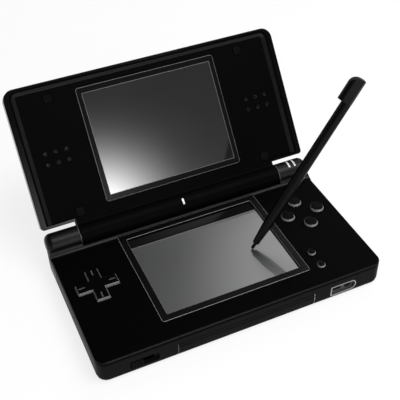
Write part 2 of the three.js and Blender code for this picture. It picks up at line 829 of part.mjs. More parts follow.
function lowerCase() {
  const hollow = slab(inset(caseFrame, caseWall), floorThickness, deckHeight);
  const pockets = [triggerPocket(-1), triggerPocket(1)];
  const trough = rod(hingeRadius + hingeRunGap + troughWall, -earInner, earInner);
  let body = caseForm.subtract(hollow);
  body = join(body, ...pockets.map(({ walls }) => walls), trough.intersect(caseForm)).intersect(belowParting);
  for (const [x, y] of screwPlaces) body = join(body, disc(x, y, postRadius, overrun, postSplit));
  body = join(body,
    disc(coverScrewX, coverTabY, coverBossFlange, overrun, coverBossFlangeTop),
    disc(coverScrewX, coverTabY, coverTabRadius, overrun, coverBossTop));
  body = cut(body, ...pockets.map(({ room }) => room));
  for (const [x, y] of screwPlaces) {
    body = cut(body, headHole(x, y, screwRecess + screwHeadHeight + screwGap),
      shankHole(x, y, 0, postSplit + overrun));
  }
  const batteryWay = slab(inset(batteryFrame, -coverMargin / 2 - fitGap), -overrun, batteryBottom + overrun);
  body = cut(body, batteryWay, coverPlan(fitGap, -overrun, coverThickness + fitGap),
    shankHole(coverScrewX, coverTabY, 0, coverBossTop + overrun));
  return cut(body, ...frontWallCuts(), ...otherWallCuts(), hingeRoom);
}

// Base, upper case

// The deck's sweep up to the hinge, tangent to the deck and to the ears.
function sweep() {
  const reach = hingeRadius + sweepRadius;
  const centreZ = deckHeight + sweepRadius;
  const rise = centreZ - hingeAxisHeight;
  const centreY = hingeAxisDepth - Math.sqrt(reach * reach - rise * rise);
  const shape = new THREE.Shape();
  shape.moveTo(centreY, deckUnderside);
  shape.lineTo(centreY, deckHeight);
  shape.absarc(centreY, centreZ, sweepRadius, -Math.PI / 2, -Math.asin(rise / reach), false);
  shape.lineTo(hingeAxisDepth, hingeAxisHeight);
  shape.lineTo(hingeAxisDepth, deckUnderside);
  shape.closePath();
  return extrudeX(shape, -halfWidth, halfWidth);
}

// A hinge ear with a rounded outer end.
function ear(side) {
  const points = [new THREE.Vector2(0, earInner), new THREE.Vector2(hingeRadius, earInner)];
  for (let step = 0; step <= edgeSteps; step += 1) {
    const angle = (Math.PI / 2) * (step / edgeSteps);
    points.push(new THREE.Vector2(
      hingeRadius - earRound * (1 - Math.cos(angle)), halfWidth - earRound * (1 - Math.sin(angle))));
  }
  points.push(new THREE.Vector2(0, halfWidth));
  const geometry = new THREE.LatheGeometry(points, roundSteps);
  geometry.rotateZ(-Math.PI / 2);
  geometry.translate(0, hingeAxisDepth, hingeAxisHeight);
  return sided(solid(geometry), side).intersect(aboveParting);
}

function crossSlab(grow, bottom, top, topRound = 0) {
  const long = crossSpan + grow * 2;
  const short = crossArm + grow * 2;
  return join(
    loaf(frameOf(crossX, crossY, long, short, crossCorner), bottom, top, { topRound }),
    loaf(frameOf(crossX, crossY, short, long, crossCorner), bottom, top, { topRound }));
}

function buttonHole([x, y], radius) {
  const wide = radius + buttonGap;
  return join(
    disc(x, y, wide, deckUnderside - overrun, deckHeight),
    disc(x, y, wide, deckHeight - holeChamfer, deckHeight + fitGap, wide + holeChamfer + fitGap));
}

// A light's curved window in the ear, or the pocket it sits in.
function lightSlice(gap) {
  const turn = THREE.MathUtils.radToDeg(gap / hingeRadius);
  const reach = lightWidth / 2 + gap;
  return tubeSlice(hingeRadius - lightDepth - gap, hingeRadius + gap,
    lightStart - turn, lightEnd + turn, -reach, reach);
}

function lightPocket(x) {
  const geometry = geometryOf(lightSlice(lightGap));
  geometry.translate(x, hingeAxisDepth, hingeAxisHeight);
  return solid(geometry);
}

function upperCase() {
  const above = deckHeight + overrun;
  const below = deckUnderside - overrun;
  const ridge = sweep().intersect(loaf(caseFrame, 0, sweepSideTop, { topRound: sweepRadius }));
  let body = join(caseForm.intersect(aboveParting), ridge, ear(-1), ear(1));
  body = cut(body, hingeRoom,
    block(-earInner, earInner, 0, hingeAxisDepth, lipHeight, sweepSideTop),
    slab(inset(glassFrame, -slideGap), below, above),
    slab(inset(bezelFrame, -fitGap), bezelFloor, above),
    crossSlab(crossGap, below, above));
  for (const place of Object.values(facePlaces)) body = cut(body, buttonHole(place, faceButtonRadius));
  for (const place of Object.values(smallPlaces)) body = cut(body, buttonHole(place, smallButtonRadius));
  for (const [x, y] of screwPlaces) {
    body = join(body, disc(x, y, postRadius, postSplit + partingGap, deckUnderside + partingGap))
      .subtract(shankHole(x, y, 0, screwTop + screwGap));
  }
  return cut(body, ...lightPlaces.map(lightPocket),
    rod(cartridgeRadius + hingePlay, -cartridgeOuter - hingePlay, 0),
    rod(hingePinRadius + hingePlay, 0, hingePinOuter + hingePlay));
}

function touchBezel() {
  const ring = loaf(bezelFrame, bezelBottom, bezelTop, { topRound: bezelChamfer });
  return ring.subtract(stack([
    { z: bezelBottom - overrun, frame: touchWindow },
    { z: bezelTop - bezelChamfer, frame: touchWindow },
    { z: bezelTop + bezelChamfer, frame: inset(touchWindow, -bezelChamfer * 2) },
  ]));
}

function mainBoard() {
  const middle = (boardFront + boardBack) / 2;
  const plan = frameOf(0, middle, caseWidth - boardFromSide * 2, boardBack - boardFront, boardCorner);
  let body = slab(plan, boardBottom, boardTop);
  for (const [x, y] of screwPlaces) {
    body = cut(body, disc(x, y, postRadius + slideGap, boardBottom - overrun, boardTop + overrun));
  }
  return body;
}

// Controls

// A round button with a flange under the deck and a softly rounded cap above it.
function button(radius, height) {
  const top = deckHeight + height;
  return turned([
    [0, flangeTop - flangeThickness],
    [radius + flangeReach, flangeTop - flangeThickness],
    [radius + flangeReach, flangeTop],
    [radius, flangeTop],
    [radius, top - buttonShoulder],
    [radius - buttonCrown, top - buttonCrown],
    [radius - buttonShoulder, top],
    [0, top],
  ]);
}

function crossPad() {
  const top = deckHeight + crossHeight;
  const skirtBottom = crossSkirtTop - crossSkirtThickness;
  let body = join(
    crossSlab(0, skirtBottom, top, crossRound),
    crossSlab(crossSkirt, skirtBottom, crossSkirtTop));
  body = cut(body, disc(crossX, crossY, rockerPocketRadius, skirtBottom - overrun, rockerPocketTop));
  const reach = crossSpan / 2 - crossMarkInset;
  for (const [dx, dy] of [[1, 0], [-1, 0], [0, 1], [0, -1]]) {
    const halfX = (dx === 0 ? crossMarkWidth : crossMarkLength) / 2;
    const halfY = (dx === 0 ? crossMarkLength : crossMarkWidth) / 2;
    const x = crossX + dx * reach;
    const y = crossY + dy * reach;
    body = cut(body, block(x - halfX, x + halfX, y - halfY, y + halfY, top - crossMarkDepth, top + overrun));
  }
  return body;
}

const rocker = () => disc(crossX, crossY, rockerFootRadius, rockerBottom, rockerTop, rockerRadius);

// A knob in a recess, a stem through the wall and a foot behind it. It is drawn for a
// front wall whose outer face is at y = 0, and slides along X.
function slider(knobLength) {
  const halfKnob = knobLength / 2;
  const height = sliderSlotHeight / 2 - slideGap;
  const halfStem = sliderStem / 2;
  const halfFoot = sliderFoot / 2;
  const foot = caseWall + slideGap;
  const knobShape = opening(-halfKnob, halfKnob, -height, height, sliderSlotCorner - slideGap);
  let body = join(
    extrudeY(knobShape, -sliderProud, sliderRecess - fitGap),
    block(-halfStem, halfStem, 0, foot + sliderFootDepth, -halfStem, halfStem),
    block(-halfFoot, halfFoot, foot, foot + sliderFootDepth, -halfFoot, halfFoot));
  for (let rib = 0; rib < sliderRibs; rib += 1) {
    const x = (rib - (sliderRibs - 1) / 2) * sliderRibPitch;
    body = cut(body, block(x - sliderRibDepth, x + sliderRibDepth, -overrun, sliderRibDepth - sliderProud,
      -sliderSlotHeight, sliderSlotHeight));
  }
  return body;
}

function volumeSlider() {
  const x = volumeSlotLeft + slideGap + volumeKnobLength / 2;
  return mesh('volume_slider', slider(volumeKnobLength), buttonBlack, [x, frontY, volumeZ]);
}

function powerSlider() {
  const y = powerSlotFront + slideGap + powerKnobLength / 2;
  const made = mesh('power_slider', slider(powerKnobLength), buttonBlack, [halfWidth, y, powerZ]);
  made.rotation.z = Math.PI / 2;
  return made;
}

// Slots, sockets and what is inside the base
function slotCover() {
  const halfFace = slotFaceWidth / 2;
  const halfPlug = plugWidth / 2;
  const face = block(-halfFace, halfFace, frontY, frontY + slotFaceThickness, slotFaceBottom, slotFaceTop);
  const groove = block(-slotFaceWidth, slotFaceWidth, frontY - overrun, frontY + slotGrooveSize,
    slotGrooveZ, slotGrooveZ + slotGrooveSize);
  const plug = block(-halfPlug, halfPlug, frontY + slotFaceThickness / 2, frontY + plugDepth,
    plugBottom, plugTop);
  return join(face.intersect(caseForm).subtract(groove), plug);
}

// A housing open at one end, for a card or a cartridge.
function housing(width, front, back, bottom, top, openFront) {
  const outer = block(-width / 2 - slotWall, width / 2 + slotWall, front, back,
    bottom - slotFloorWall, top + slotFloorWall);
  const innerFront = openFront ? front - overrun : front + slotWall;
  const innerBack = openFront ? back - slotWall : back + overrun;
  return outer.subtract(block(-width / 2, width / 2, innerFront, innerBack, bottom, top));
}

function cartridgeSlot() {
  return housing(cartridgeSlotWidth, frontY + caseWall + slideGap, cartridgeSlotBack,
    plugBottom - slideGap, plugTop + slideGap, true);
}

function cardSlot() {
  return housing(cardSlotWidth, cardSlotFront, backY - caseWall - fitGap,
    cardSlotBottom, cardSlotBottom + cardSlotHeight, false);
}

function chargeSocket() {
  const back = backY - caseWall - fitGap;
  const front = back - chargeDepth;
  const half = chargeWidth / 2;
  const shell = block(chargeX - half - slotWall, chargeX + half + slotWall, front, back,
    chargeBottom - slotFloorWall, chargeBottom + chargeHeight + slotFloorWall);
  const mouth = block(chargeX - half, chargeX + half, front + slotWall, back + overrun,
    chargeBottom, chargeBottom + chargeHeight);
  const middle = chargeBottom + chargeHeight / 2;
  const tongue = block(chargeX - half + chargeTongueInset, chargeX + half - chargeTongueInset,
    front, front + chargeTongueReach, middle - chargeTongueThickness / 2, middle + chargeTongueThickness / 2);
  return join(shell.subtract(mouth), tongue);
}

function headphoneSocket() {
  const face = frontY + jackFaceInset;
  const wallIn = frontY + caseWall + fitGap;
  const reach = jackHeight / 2 - leastCorner;
  const plate = extrudeY(jackShape(0), face, wallIn + overrun);
  const body = block(jackX - jackWidth / 2 + jackRim, jackX + jackWidth / 2 - jackRim,
    wallIn, frontY + jackDepth, jackZ - reach, jackZ + reach);
  const recess = extrudeY(jackShape(jackRim), face - overrun, face + jackRecessDepth);
  const bore = new THREE.CylinderGeometry(jackHoleRadius, jackHoleRadius, jackHoleDepth, smallSteps);
  bore.translate(jackX + jackHoleOffset, face + jackHoleDepth / 2, jackZ);
  const plugX = jackX - jackPlugOffset;
  const plug = block(plugX - jackPlugWidth / 2, plugX + jackPlugWidth / 2,
    face, face + jackHoleDepth, jackZ - jackPlugHeight / 2, jackZ + jackPlugHeight / 2);
  return cut(join(plate, body), recess, solid(bore), plug);
}

function stylusSilo() {
  const right = halfWidth - caseWall - fitGap;
  const mouth = right - siloMouthDepth;
  const low = siloBottom + siloWall;
  const high = low + siloBore;
  const outer = join(
    block(siloInnerEnd, right, siloFront - siloWall, siloBack + siloWall, siloBottom, high + siloWall),
    block(mouth - siloWall, right, siloMouthFront - siloWall, siloBack + siloWall,
      siloBottom, high + siloWall));
  return cut(outer,
    block(siloInnerEnd + siloWall, right + overrun, siloFront, siloBack, low, high),
    block(mouth, right + overrun, siloMouthFront, siloBack, low, high));
}

// A flat-headed screw with a cross recess, head down, its axis on Z.
function screw(recess, headHeight, top) {
  const body = turned([
    [0, recess], [screwHeadRadius, recess], [screwHeadRadius, recess + headHeight],
    [screwShankRadius, recess + headHeight], [screwShankRadius, top], [0, top],
  ], screwSteps);
  const reach = screwHeadRadius - screwGap;
  const half = screwSlotWidth / 2;
  return cut(body,
    block(-reach, reach, -half, half, recess - overrun, recess + screwSlotDepth),
    block(-half, half, -reach, reach, recess - overrun, recess + screwSlotDepth));
}

function batteryCover() {
  return cut(coverPlan(0, 0, coverThickness),
    headHole(coverScrewX, coverTabY, coverHeadRecess + coverHeadHeight + partingGap),
    shankHole(coverScrewX, coverTabY, 0, coverThickness + overrun));
}

const battery = () => loaf(batteryFrame, batteryBottom, batteryTop, { topRound: batteryRound });

// A display module, a little larger all round than the window it shows through.
function display(window, bottom, thickness) {
  return block(window.left - displaySideMargin, window.right + displaySideMargin,
    window.front - displayEndMargin, window.back + displayEndMargin, bottom, bottom + thickness);
}

function wirelessBoard() {
  const right = halfWidth - wirelessFromSide;
  return block(right - wirelessWidth, right, wirelessFront, wirelessBack,
    innerTop - wirelessThickness, innerTop);
}

function smallMembrane() {
  const y = startButtonY - smallButtonPitch / 2;
  return slab(frameOf(smallButtonX, y, smallMembraneWidth, smallMembraneDepth, membraneCorner),
    membraneBottom, membraneTop);
}

// Stylus

// The cap's outline across the hook, square below and well rounded over the hook.
function capShape(shoulder) {
  const left = -stylusRadius - stylusHook;
  const shape = new THREE.Shape();
  shape.moveTo(left, shoulder);
  shape.lineTo(stylusRadius, shoulder);
  shape.absarc(stylusRadius - stylusCapCorner, stylusLength - stylusCapCorner, stylusCapCorner,
    0, Math.PI / 2, false);
  shape.absarc(left + stylusCapRound, stylusLength - stylusCapRound, stylusCapRound,
    Math.PI / 2, Math.PI, false);
  shape.closePath();
  return shape;
}

// The stylus standing on its point along Z, hook towards -X.
function uprightStylus() {
  const shoulder = stylusLength - stylusCapLength;
  const shaft = turned([
    [0, 0], [stylusTipRound, 0], [stylusTipRadius, stylusTipRound], [stylusTipRadius, stylusTipLength],
    [stylusCollarRadius, stylusTipLength], [stylusRadius, stylusTaper],
    [stylusRadius, shoulder + overrun], [0, shoulder + overrun],
  ]);
  const width = stylusRadius * 2 + stylusHook;
  const plan = frameOf(-stylusHook / 2, 0, width, stylusRadius * 2, stylusRadius - leastCorner);
  const cap = slab(plan, shoulder, stylusLength)
    .intersect(extrudeY(capShape(shoulder), -stylusRadius, stylusRadius));
  return join(shaft, cap);
}

function stylus() {
  const heading = THREE.MathUtils.degToRad(stylusHeading);
  const lean = THREE.MathUtils.degToRad(stylusLean);
  const hook = THREE.MathUtils.degToRad(stylusHookHeading);
  const along = new THREE.Vector3(
    Math.sin(lean) * Math.cos(heading), Math.sin(lean) * Math.sin(heading), Math.cos(lean));
  const across = new THREE.Vector3(Math.cos(hook), Math.sin(hook), 0);
  across.addScaledVector(along, -across.dot(along)).normalize();
  const third = new THREE.Vector3().crossVectors(along, across);
  const made = mesh('stylus', uprightStylus(), glossBlack, [stylusTipX, stylusTipY, stylusTipZ]);
  made.quaternion.setFromRotationMatrix(new THREE.Matrix4().makeBasis(across, third, along));
  return made;
}

// Lid, drawn shut: the hinge axis is its own X axis and it reaches towards -Y.
function lidCover() {
  const shell = loaf(lidFrame, rimBottom, lidTop, { bottomRound: lidRimRound, topRound: lidOuterRound });
  const hollow = loaf(coverRimInner, rimBottom - overrun, lidTop - lidCoverThickness,
    { topRound: lidCoverThickness });
  const neckWay = block(-earInner, earInner, -lidHingeEdge - lidSideRim, overrun,
    rimBottom - overrun, neckTop + slideGap);
  return cut(shell, hollow, neckWay);
}

// The room over the flat face, inside the raised edge with its soft slope. The edge is
// left out along the hinge.
function trayRoom() {
  const levels = [{ z: rimBottom - overrun, frame: inset(trayFrame, trayLip, trayLip, -overrun) }];
  const low = rimBottom + lidRimRound / 2;
  for (let step = 0; step <= slopeSteps; step += 1) {
    const share = step / slopeSteps;
    const rise = share * share * (3 - 2 * share);
    levels.push({
      z: low + (faceDrop - low) * rise,
      frame: inset(trayFrame, trayLip + traySlopeSide * share, trayLip + traySlopeEnd * share, -overrun),
    });
  }
  return stack(levels);
}

function speakerHoles(side) {
  const holes = [];
  for (let column = 0; column < speakerColumns; column += 1) {
    for (let row = 0; row < speakerRows; row += 1) {
      const x = speakerCentre + (column - (speakerColumns - 1) / 2) * speakerHolePitch;
      const y = speakerY + (row - (speakerRows - 1) / 2) * speakerHolePitch;
      holes.push(disc(side * x, y, speakerHoleRadius, faceDrop - overrun, frameBack + overrun,
        speakerHoleRadius, holeSteps));
    }
  }
  return holes;
}

// Fills the crease where the flat face runs into the hinge barrel.
function creaseFill() {
  const reach = hingeRadius + creaseRadius;
  const drop = faceDrop - creaseRadius;
  const y = -Math.sqrt(reach * reach - drop * drop);
  const shape = new THREE.Shape();
  shape.moveTo(y, 0);
  shape.lineTo(y, faceDrop);
  shape.absarc(y, drop, creaseRadius, Math.PI / 2, Math.asin(-drop / reach), true);
  shape.lineTo(-neckBase, 0);
  shape.closePath();
  return extrudeX(shape, -barrelHalfLength, barrelHalfLength);
}

// The microphone's slot in the barrel, or the piece that fills it.
function micSlice(gap) {
  const turn = THREE.MathUtils.radToDeg(gap / hingeRadius);
  const reach = micWidth / 2 + gap;
  return tubeSlice(hingeRadius - micDepth - gap, hingeRadius + gap,
    micStart + lidOpening - turn, micEnd + lidOpening + turn, -reach, reach);
}

function lidInnerFrame() {
  const neck = block(-barrelHalfLength, barrelHalfLength, trayFrame.back - overrun, -neckBase,
    faceDrop, neckTop);
  let body = slab(trayFrame, rimBottom + partingGap, frameBack).subtract(trayRoom());
  body = join(body, neck, creaseFill(), rod(hingeRadius, -barrelHalfLength, barrelHalfLength, 0, 0));
  body = cut(body,
    slab(inset(lensFrame, -fitGap), faceDrop - overrun, faceDrop + lensThickness + leastCorner),
    slab(upperWindow, faceDrop, frameBack + overrun),
    ...speakerHoles(-1), ...speakerHoles(1));
  for (const [x, y] of padPlaces) {
    const pocket = frameOf(x, y, padSize + fitGap * 2, padSize + fitGap * 2, padCorner);
    body = cut(body, slab(pocket, faceDrop - overrun, faceDrop + padPocket));
  }
  return cut(body,
    micSlice(lightGap),
    rod(cartridgeRadius + hingePlay, -barrelHalfLength - overrun, earInner - wideBoreFromEar, 0, 0),
    rod(hingePinRadius + hingePlay, 0, barrelHalfLength + overrun, 0, 0));
}

function lid() {
  const behind = frameBack + fitGap;
  const speaker = disc(0, 0, speakerRadius, behind, behind + speakerThickness);
  const pad = slab(frameOf(0, 0, padSize, padSize, padCorner),
    faceDrop - padProud, faceDrop + padPocket - lightGap);
  const group = new THREE.Group();
  group.name = 'lid';
  group.position.set(0, hingeAxisDepth, hingeAxisHeight);
  group.rotation.x = THREE.MathUtils.degToRad(-lidOpening);
  group.add(
    mesh('lid_outer_cover', lidCover(), glossBlack),
    mesh('lid_inner_frame', lidInnerFrame(), faceBlack),
    mesh('upper_lens', slab(lensFrame, faceDrop, faceDrop + lensThickness), lensDark),
    mesh('upper_display', display(upperWindow, behind, upperDisplayThickness), displayGrey),
    mesh('left_speaker', speaker, steel, [-speakerCentre, speakerY, 0]),
    mesh('right_speaker', speaker, steel, [speakerCentre, speakerY, 0]),
    mesh('microphone', micSlice(0), socketGrey),
    mesh('hinge_ribbon', rod(cartridgeRadius, -ribbonHalfLength, ribbonHalfLength, 0, 0), ribbonAmber),
    ...padPlaces.map((place, i) => mesh(`lid_pad_${i + 1}`, pad, rubberGrey, place)));
  return group;
}

function base() {
  const caseScrew = screw(screwRecess, screwHeadHeight, screwTop);
  const coverScrew = screw(coverHeadRecess, coverHeadHeight, coverScrewTop);
  const light = lightSlice(0);
  const group = new THREE.Group();
  group.name = 'base';
  group.add(
    mesh('base_lower_case', lowerCase(), satinBlack),
    mesh('base_upper_case', upperCase(), glossBlack),
    mesh('touch_panel_bezel', touchBezel(), faceBlack),
    mesh('touch_panel', slab(glassFrame, touchGlassBottom, touchGlassTop), glassGrey),
    mesh('lower_display',
      display(touchWindow, lowerDisplayTop - lowerDisplayThickness, lowerDisplayThickness), displayGrey),
    mesh('main_board', mainBoard(), boardGreen),
    mesh('wireless_board', wirelessBoard(), boardGreen),
    mesh('battery', battery(), batteryGrey),
    mesh('battery_cover', batteryCover(), satinBlack),
    mesh('battery_cover_screw', coverScrew, steel, [coverScrewX, coverTabY, 0]),
    mesh('cartridge_slot', cartridgeSlot(), socketGrey),
    mesh('card_slot', cardSlot(), steel),
    mesh('charge_socket', chargeSocket(), socketGrey),
    mesh('headphone_socket', headphoneSocket(), socketGrey),
    mesh('stylus_silo', stylusSilo(), satinBlack),
    mesh('cross_pad_membrane',
      disc(crossX, crossY, crossMembraneRadius, membraneBottom, membraneTop), rubberGrey),
    mesh('face_button_membrane',
      disc(faceCentreX, faceCentreY, faceMembraneRadius, membraneBottom, membraneTop), rubberGrey),
    mesh('small_button_membrane', smallMembrane(), rubberGrey),
    mesh('hinge_cartridge', rod(cartridgeRadius, -cartridgeOuter, -cartridgeInner), steel),
    mesh('hinge_pin', rod(hingePinRadius, hingePinInner, hingePinOuter), steel),
    ...screwPlaces.map(([x, y], i) => mesh(`case_screw_${i + 1}`, caseScrew, steel, [x, y, 0])),
    ...lightPlaces.map((x, i) =>
      mesh(`status_light_${i + 1}`, light, lightWhite, [x, hingeAxisDepth, hingeAxisHeight])));
  return group;
}

function controls() {
  const faceButton = button(faceButtonRadius, faceButtonHeight);
  const smallButton = button(smallButtonRadius, smallButtonHeight);
  const group = new THREE.Group();
  group.name = 'controls';
  group.add(
    mesh('cross_pad', crossPad(), buttonBlack),
    mesh('cross_pad_rocker', rocker(), rubberGrey),
    mesh('left_trigger', trigger(-1), buttonBlack),
    mesh('right_trigger', trigger(1), buttonBlack),
    powerSlider(),
    volumeSlider(),
    mesh('cartridge_slot_cover', slotCover(), satinBlack));
  for (const [name, [x, y]] of Object.entries(facePlaces)) {
    group.add(mesh(name, faceButton, buttonBlack, [x, y, 0]));
  }
  for (const [name, [x, y]] of Object.entries(smallPlaces)) {
    group.add(mesh(name, smallButton, buttonBlack, [x, y, 0]));
  }
  return group;
}

const handheld = new THREE.Group();
handheld.name = 'handheld_console';
handheld.add(base(), controls(), lid(), stylus());

export default handheld;
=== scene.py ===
import json
import math

import bmesh
import bpy
from bpy.props import FloatProperty, FloatVectorProperty, IntProperty, PointerProperty
from mathutils import Matrix, Vector


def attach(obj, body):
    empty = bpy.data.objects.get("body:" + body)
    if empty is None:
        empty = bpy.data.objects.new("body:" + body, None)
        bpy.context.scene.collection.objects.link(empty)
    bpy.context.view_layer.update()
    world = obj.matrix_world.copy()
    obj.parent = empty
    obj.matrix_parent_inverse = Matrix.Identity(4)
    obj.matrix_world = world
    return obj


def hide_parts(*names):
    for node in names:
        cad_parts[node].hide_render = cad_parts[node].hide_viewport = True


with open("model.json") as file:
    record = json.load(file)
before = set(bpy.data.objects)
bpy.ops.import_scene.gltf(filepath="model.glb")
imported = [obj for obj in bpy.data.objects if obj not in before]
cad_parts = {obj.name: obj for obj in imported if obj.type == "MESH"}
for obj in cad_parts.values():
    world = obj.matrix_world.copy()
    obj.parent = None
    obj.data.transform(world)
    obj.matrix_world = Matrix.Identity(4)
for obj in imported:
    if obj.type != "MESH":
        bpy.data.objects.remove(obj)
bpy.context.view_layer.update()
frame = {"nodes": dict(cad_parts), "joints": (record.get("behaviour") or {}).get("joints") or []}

bl_info = {
    "name": "Clamshell handheld console",
    "version": (1, 0, 0),
    "blender": (4, 5, 0),
    "location": "View3D > Sidebar > Handheld",
    "description": "Builds the visible shells, finishes and studio of a clamshell handheld console",
    "category": "Object",
}

MM = 0.001

# The photograph's view, in metres and degrees
CAMERA_PLACE = (-0.1033, -0.22528, 0.26332)
CAMERA_TARGET = (0.011469, 0.037831, 0.010)
CAMERA_ROLL = 1.205
CAMERA_CLIP = (0.01, 20)

# The studio, seen from the console; levels are times plain white
# The dome is white up to the first of these heights, from 0 at the horizon to 1 overhead, and has
# its own level from the second on
HORIZON_BAND = (0.12, 0.45)
DOME_LEVEL = 0.12
# Each light's direction, tightness and level
ROUND_LIGHTS = (((0.1775, -0.8349, 0.5210), 558, 19.0), ((0.1, -0.985, 0.14), 25, 5.0))
# For each side of the box a direction, and how far towards it the box starts and is full
SOFT_BOX_EDGES = (((0.91, -0.415, 0), -0.05, 0.08), ((0, 1, 0), 0.15, 0.4), ((0, 0, 1), 0.4, 0.55),
                  ((0, 0, -1), -0.96, -0.88))
SOFT_BOX_LEVEL = 2.0
LAMP_SIZE = 0.8
LAMP_PLACE = (0.36, -0.30, 1.1)
FLOOR_REACH = 6.0
FLOOR_GLOW = 0.8

# The lid's own frame: drawn shut, its hinge axis is X and it reaches towards -Y
HINGE = next(joint for joint in frame["joints"] if joint["name"] == "lid_hinge")
LID_OPENING = HINGE["range_deg"][1]
LID_PLACE = (Matrix.Translation(Vector(HINGE["pos_m"]))
             @ Matrix.Rotation(-math.radians(LID_OPENING), 4, "X"))


def limits(node, place=None):
    """The lowest and highest corner of a CAD node in millimetres, in place's own frame if given."""
    back = place.inverted() if place else Matrix()
    points = [back @ vertex.co / MM for vertex in frame["nodes"][node].data.vertices]
    return (Vector([min(p[i] for p in points) for i in range(3)]),
            Vector([max(p[i] for p in points) for i in range(3)]))


def middle(node, place=None):
    low, high = limits(node, place)
    return (low + high) / 2


# Sizes read from the frame, in millimetres
CASE_LOW, CASE_HIGH = limits("base_lower_case")
BEZEL_LOW, BEZEL_HIGH = limits("touch_panel_bezel")
HINGE_Y, HINGE_Z = (value / MM for value in HINGE["pos_m"][1:])
LID_LOW, LID_HIGH = limits("lid_outer_cover", LID_PLACE)
LENS_LOW, LENS_HIGH = limits("upper_lens", LID_PLACE)
TOUCH_LOW, TOUCH_HIGH = limits("touch_panel")
COVER_LOW, COVER_HIGH = limits("cartridge_slot_cover")
SWING = next(joint for joint in frame["joints"] if joint["name"] == "stylus_swing")
STYLUS_CLEARANCE = 0.5
STYLUS_POINT = (SWING["pos_m"][0] / MM, SWING["pos_m"][1] / MM, TOUCH_HIGH.z + STYLUS_CLEARANCE)

# Base
BEZEL_RISE = 0.5
DECK_TOP = BEZEL_HIGH.z - BEZEL_RISE
DECK_THICKNESS = 1.7
DECK_UNDERSIDE = DECK_TOP - DECK_THICKNESS
CASE_CORNER = 4.5
DECK_ROUND = 0.8
CASE_SCREWS = tuple(f"case_screw_{i}" for i in range(1, 5))
FIT_GAP = 0.25
SLIDE_GAP = 0.35
POST_RADIUS = 3.0
BEZEL_SINK = 0.4
BEZEL_CORNER = 1.3
BEZEL_RIM = 3.3
BEZEL_CHAMFER = 0.12
# Width of the band along the bezel's outer edge painted light grey as a highlight
BEZEL_LINE = 0.2
WINDOW_CORNER = 0.5
# Width of the painted highlight line where the painted shade strip ends
SHADE_STRIP_HIGHLIGHT = 0.3
TOUCH_CORNER = 0.5

# Hinge
BARREL_RADIUS = 5.0
EAR_INNER = 50.7
BARREL_HALF = 50.3
RUN_GAP = 0.4
EAR_ROUND = 3.0
SWEEP_RADIUS = 3.0
SWEEP_TOP = 15.9
LIP_TOP = 13.5
SEAM_CHAMFER = 0.15
BAR_WIDTH = 0.9
# Where the windows lie round the hinge's axis, in degrees from +Y towards +Z
MIC_START, MIC_END = 109, 142
LIGHT_START, LIGHT_END = 70, 120
STATUS_LIGHTS = ("status_light_1", "status_light_2")
SLOT_GAP = 0.15
SLOT_DEPTH = 1.0
PIN_PLAY = 0.3
PIN_START = 0.5
RIBBON_BORE = 3.2
RIBBON_BORE_END = 30.0
PIN_BORE = 2.5

# Lid, in its own frame
LID_CORNER = 5.0
LID_END_PLAY = 0.03
LID_HINGE_CORNER = 1.5
LID_ROUND = 3.2
LID_RIM_ROUND = 0.3
LID_SIDE_RIM = 2.6
LID_END_RIM = 1.3
LID_COVER = 1.4
LID_FACE = LENS_LOW.z
FRAME_THICKNESS = 2.0
TRAY_LIP = 0.3
SLOPE_SIDE = 2.6
SLOPE_END = 1.8
SLOPE_FOOT = 0.25
NECK_BASE = 3.0
NECK_TOP = 4.5
CREASE = 1.0
PARTING = 0.2
LENS_CORNER = 1.2
LENS_CHAMFER = 0.2
LENS_LINE = 0.22
LENS_GLUE = 0.15
SPEAKER_PITCH = 5.0
SPEAKER_FLARE = 0.25
SPEAKER_FLARE_DEPTH = 0.15
SPEAKER_FLARE_TOP = 0.2
SPEAKER_EDGE = 0.4
SPEAKERS = ("left_speaker", "right_speaker")
SPEAKER_COLUMNS = (-1, 0, 1)
SPEAKER_ROWS = (-0.5, 0.5)
PADS = ("lid_pad_1", "lid_pad_2", "lid_pad_3", "lid_pad_4")
PAD_SIZE = 4.0
PAD_CORNER = 0.7
PAD_POCKET = 0.6

# Controls
CROSS_ARM = 6.4
CROSS_SPAN = 19.0
CROSS_CORNER = 0.7
CROSS_GAP = 0.45
# A groove's length and width; its floor is narrower and its mouth wider by these shares
CROSS_MARK = (3.0, 0.6)
CROSS_MARK_FLOOR, CROSS_MARK_MOUTH = 0.8, 1.6
CROSS_MARK_INSET = 2.6
CROSS_MARK_CORNER = 0.25
CROSS_MARK_END = 0.9
CROSS_SKIRT = 0.8
CROSS_SKIRT_THICKNESS = 0.4
ROCKER_BORE = 2.9
ROCKER_PLAY = 0.3
FACE_RADIUS = 3.35
SMALL_RADIUS = 1.9
BUTTON_GAP = 0.4
CONTROL_LEAN = 0.5
CONTROL_SLOPE = 27
FLANGE_REACH = 0.95
FLANGE_THICKNESS = 0.5
HOLE_CHAMFER = 0.3
# Each button's body and radius
BUTTONS = {
    "face_button_left": ("button_left", FACE_RADIUS),
    "face_button_back": ("button_back", FACE_RADIUS),
    "face_button_right": ("button_right", FACE_RADIUS),
    "face_button_front": ("button_front", FACE_RADIUS),
    "start_button": ("start", SMALL_RADIUS),
    "select_button": ("select", SMALL_RADIUS),
}
CROWN_RINGS = 4

# Headphone socket
JACK_RIM = 0.6
JACK_DEPTH = 1.2
JACK_CORNER = 0.5
JACK_FLAT = 0.15
# The round hole's place to the right of the middle, its radius and depth
JACK_HOLE = (2.7, 1.75, 8.5)
# The plug slot's place to the right of the middle, its width and height
JACK_SLOT = (-2.8, 4.4, 2.2)

# Stylus
STYLUS_LENGTH = 88.95
STYLUS_RADIUS = 2.3
STYLUS_TIP = 0.75
STYLUS_TIP_LENGTH = 3.2
STYLUS_COLLAR = 1.5
STYLUS_COLLAR_CHAMFER = 0.1
STYLUS_TAPER = 15.0
STYLUS_CAP = 11.5
STYLUS_HOOK = 2.1
STYLUS_CAP_FLAT = 1.4
STYLUS_CAP_CORNER = 0.8
STYLUS_CAP_SIDE = 0.15
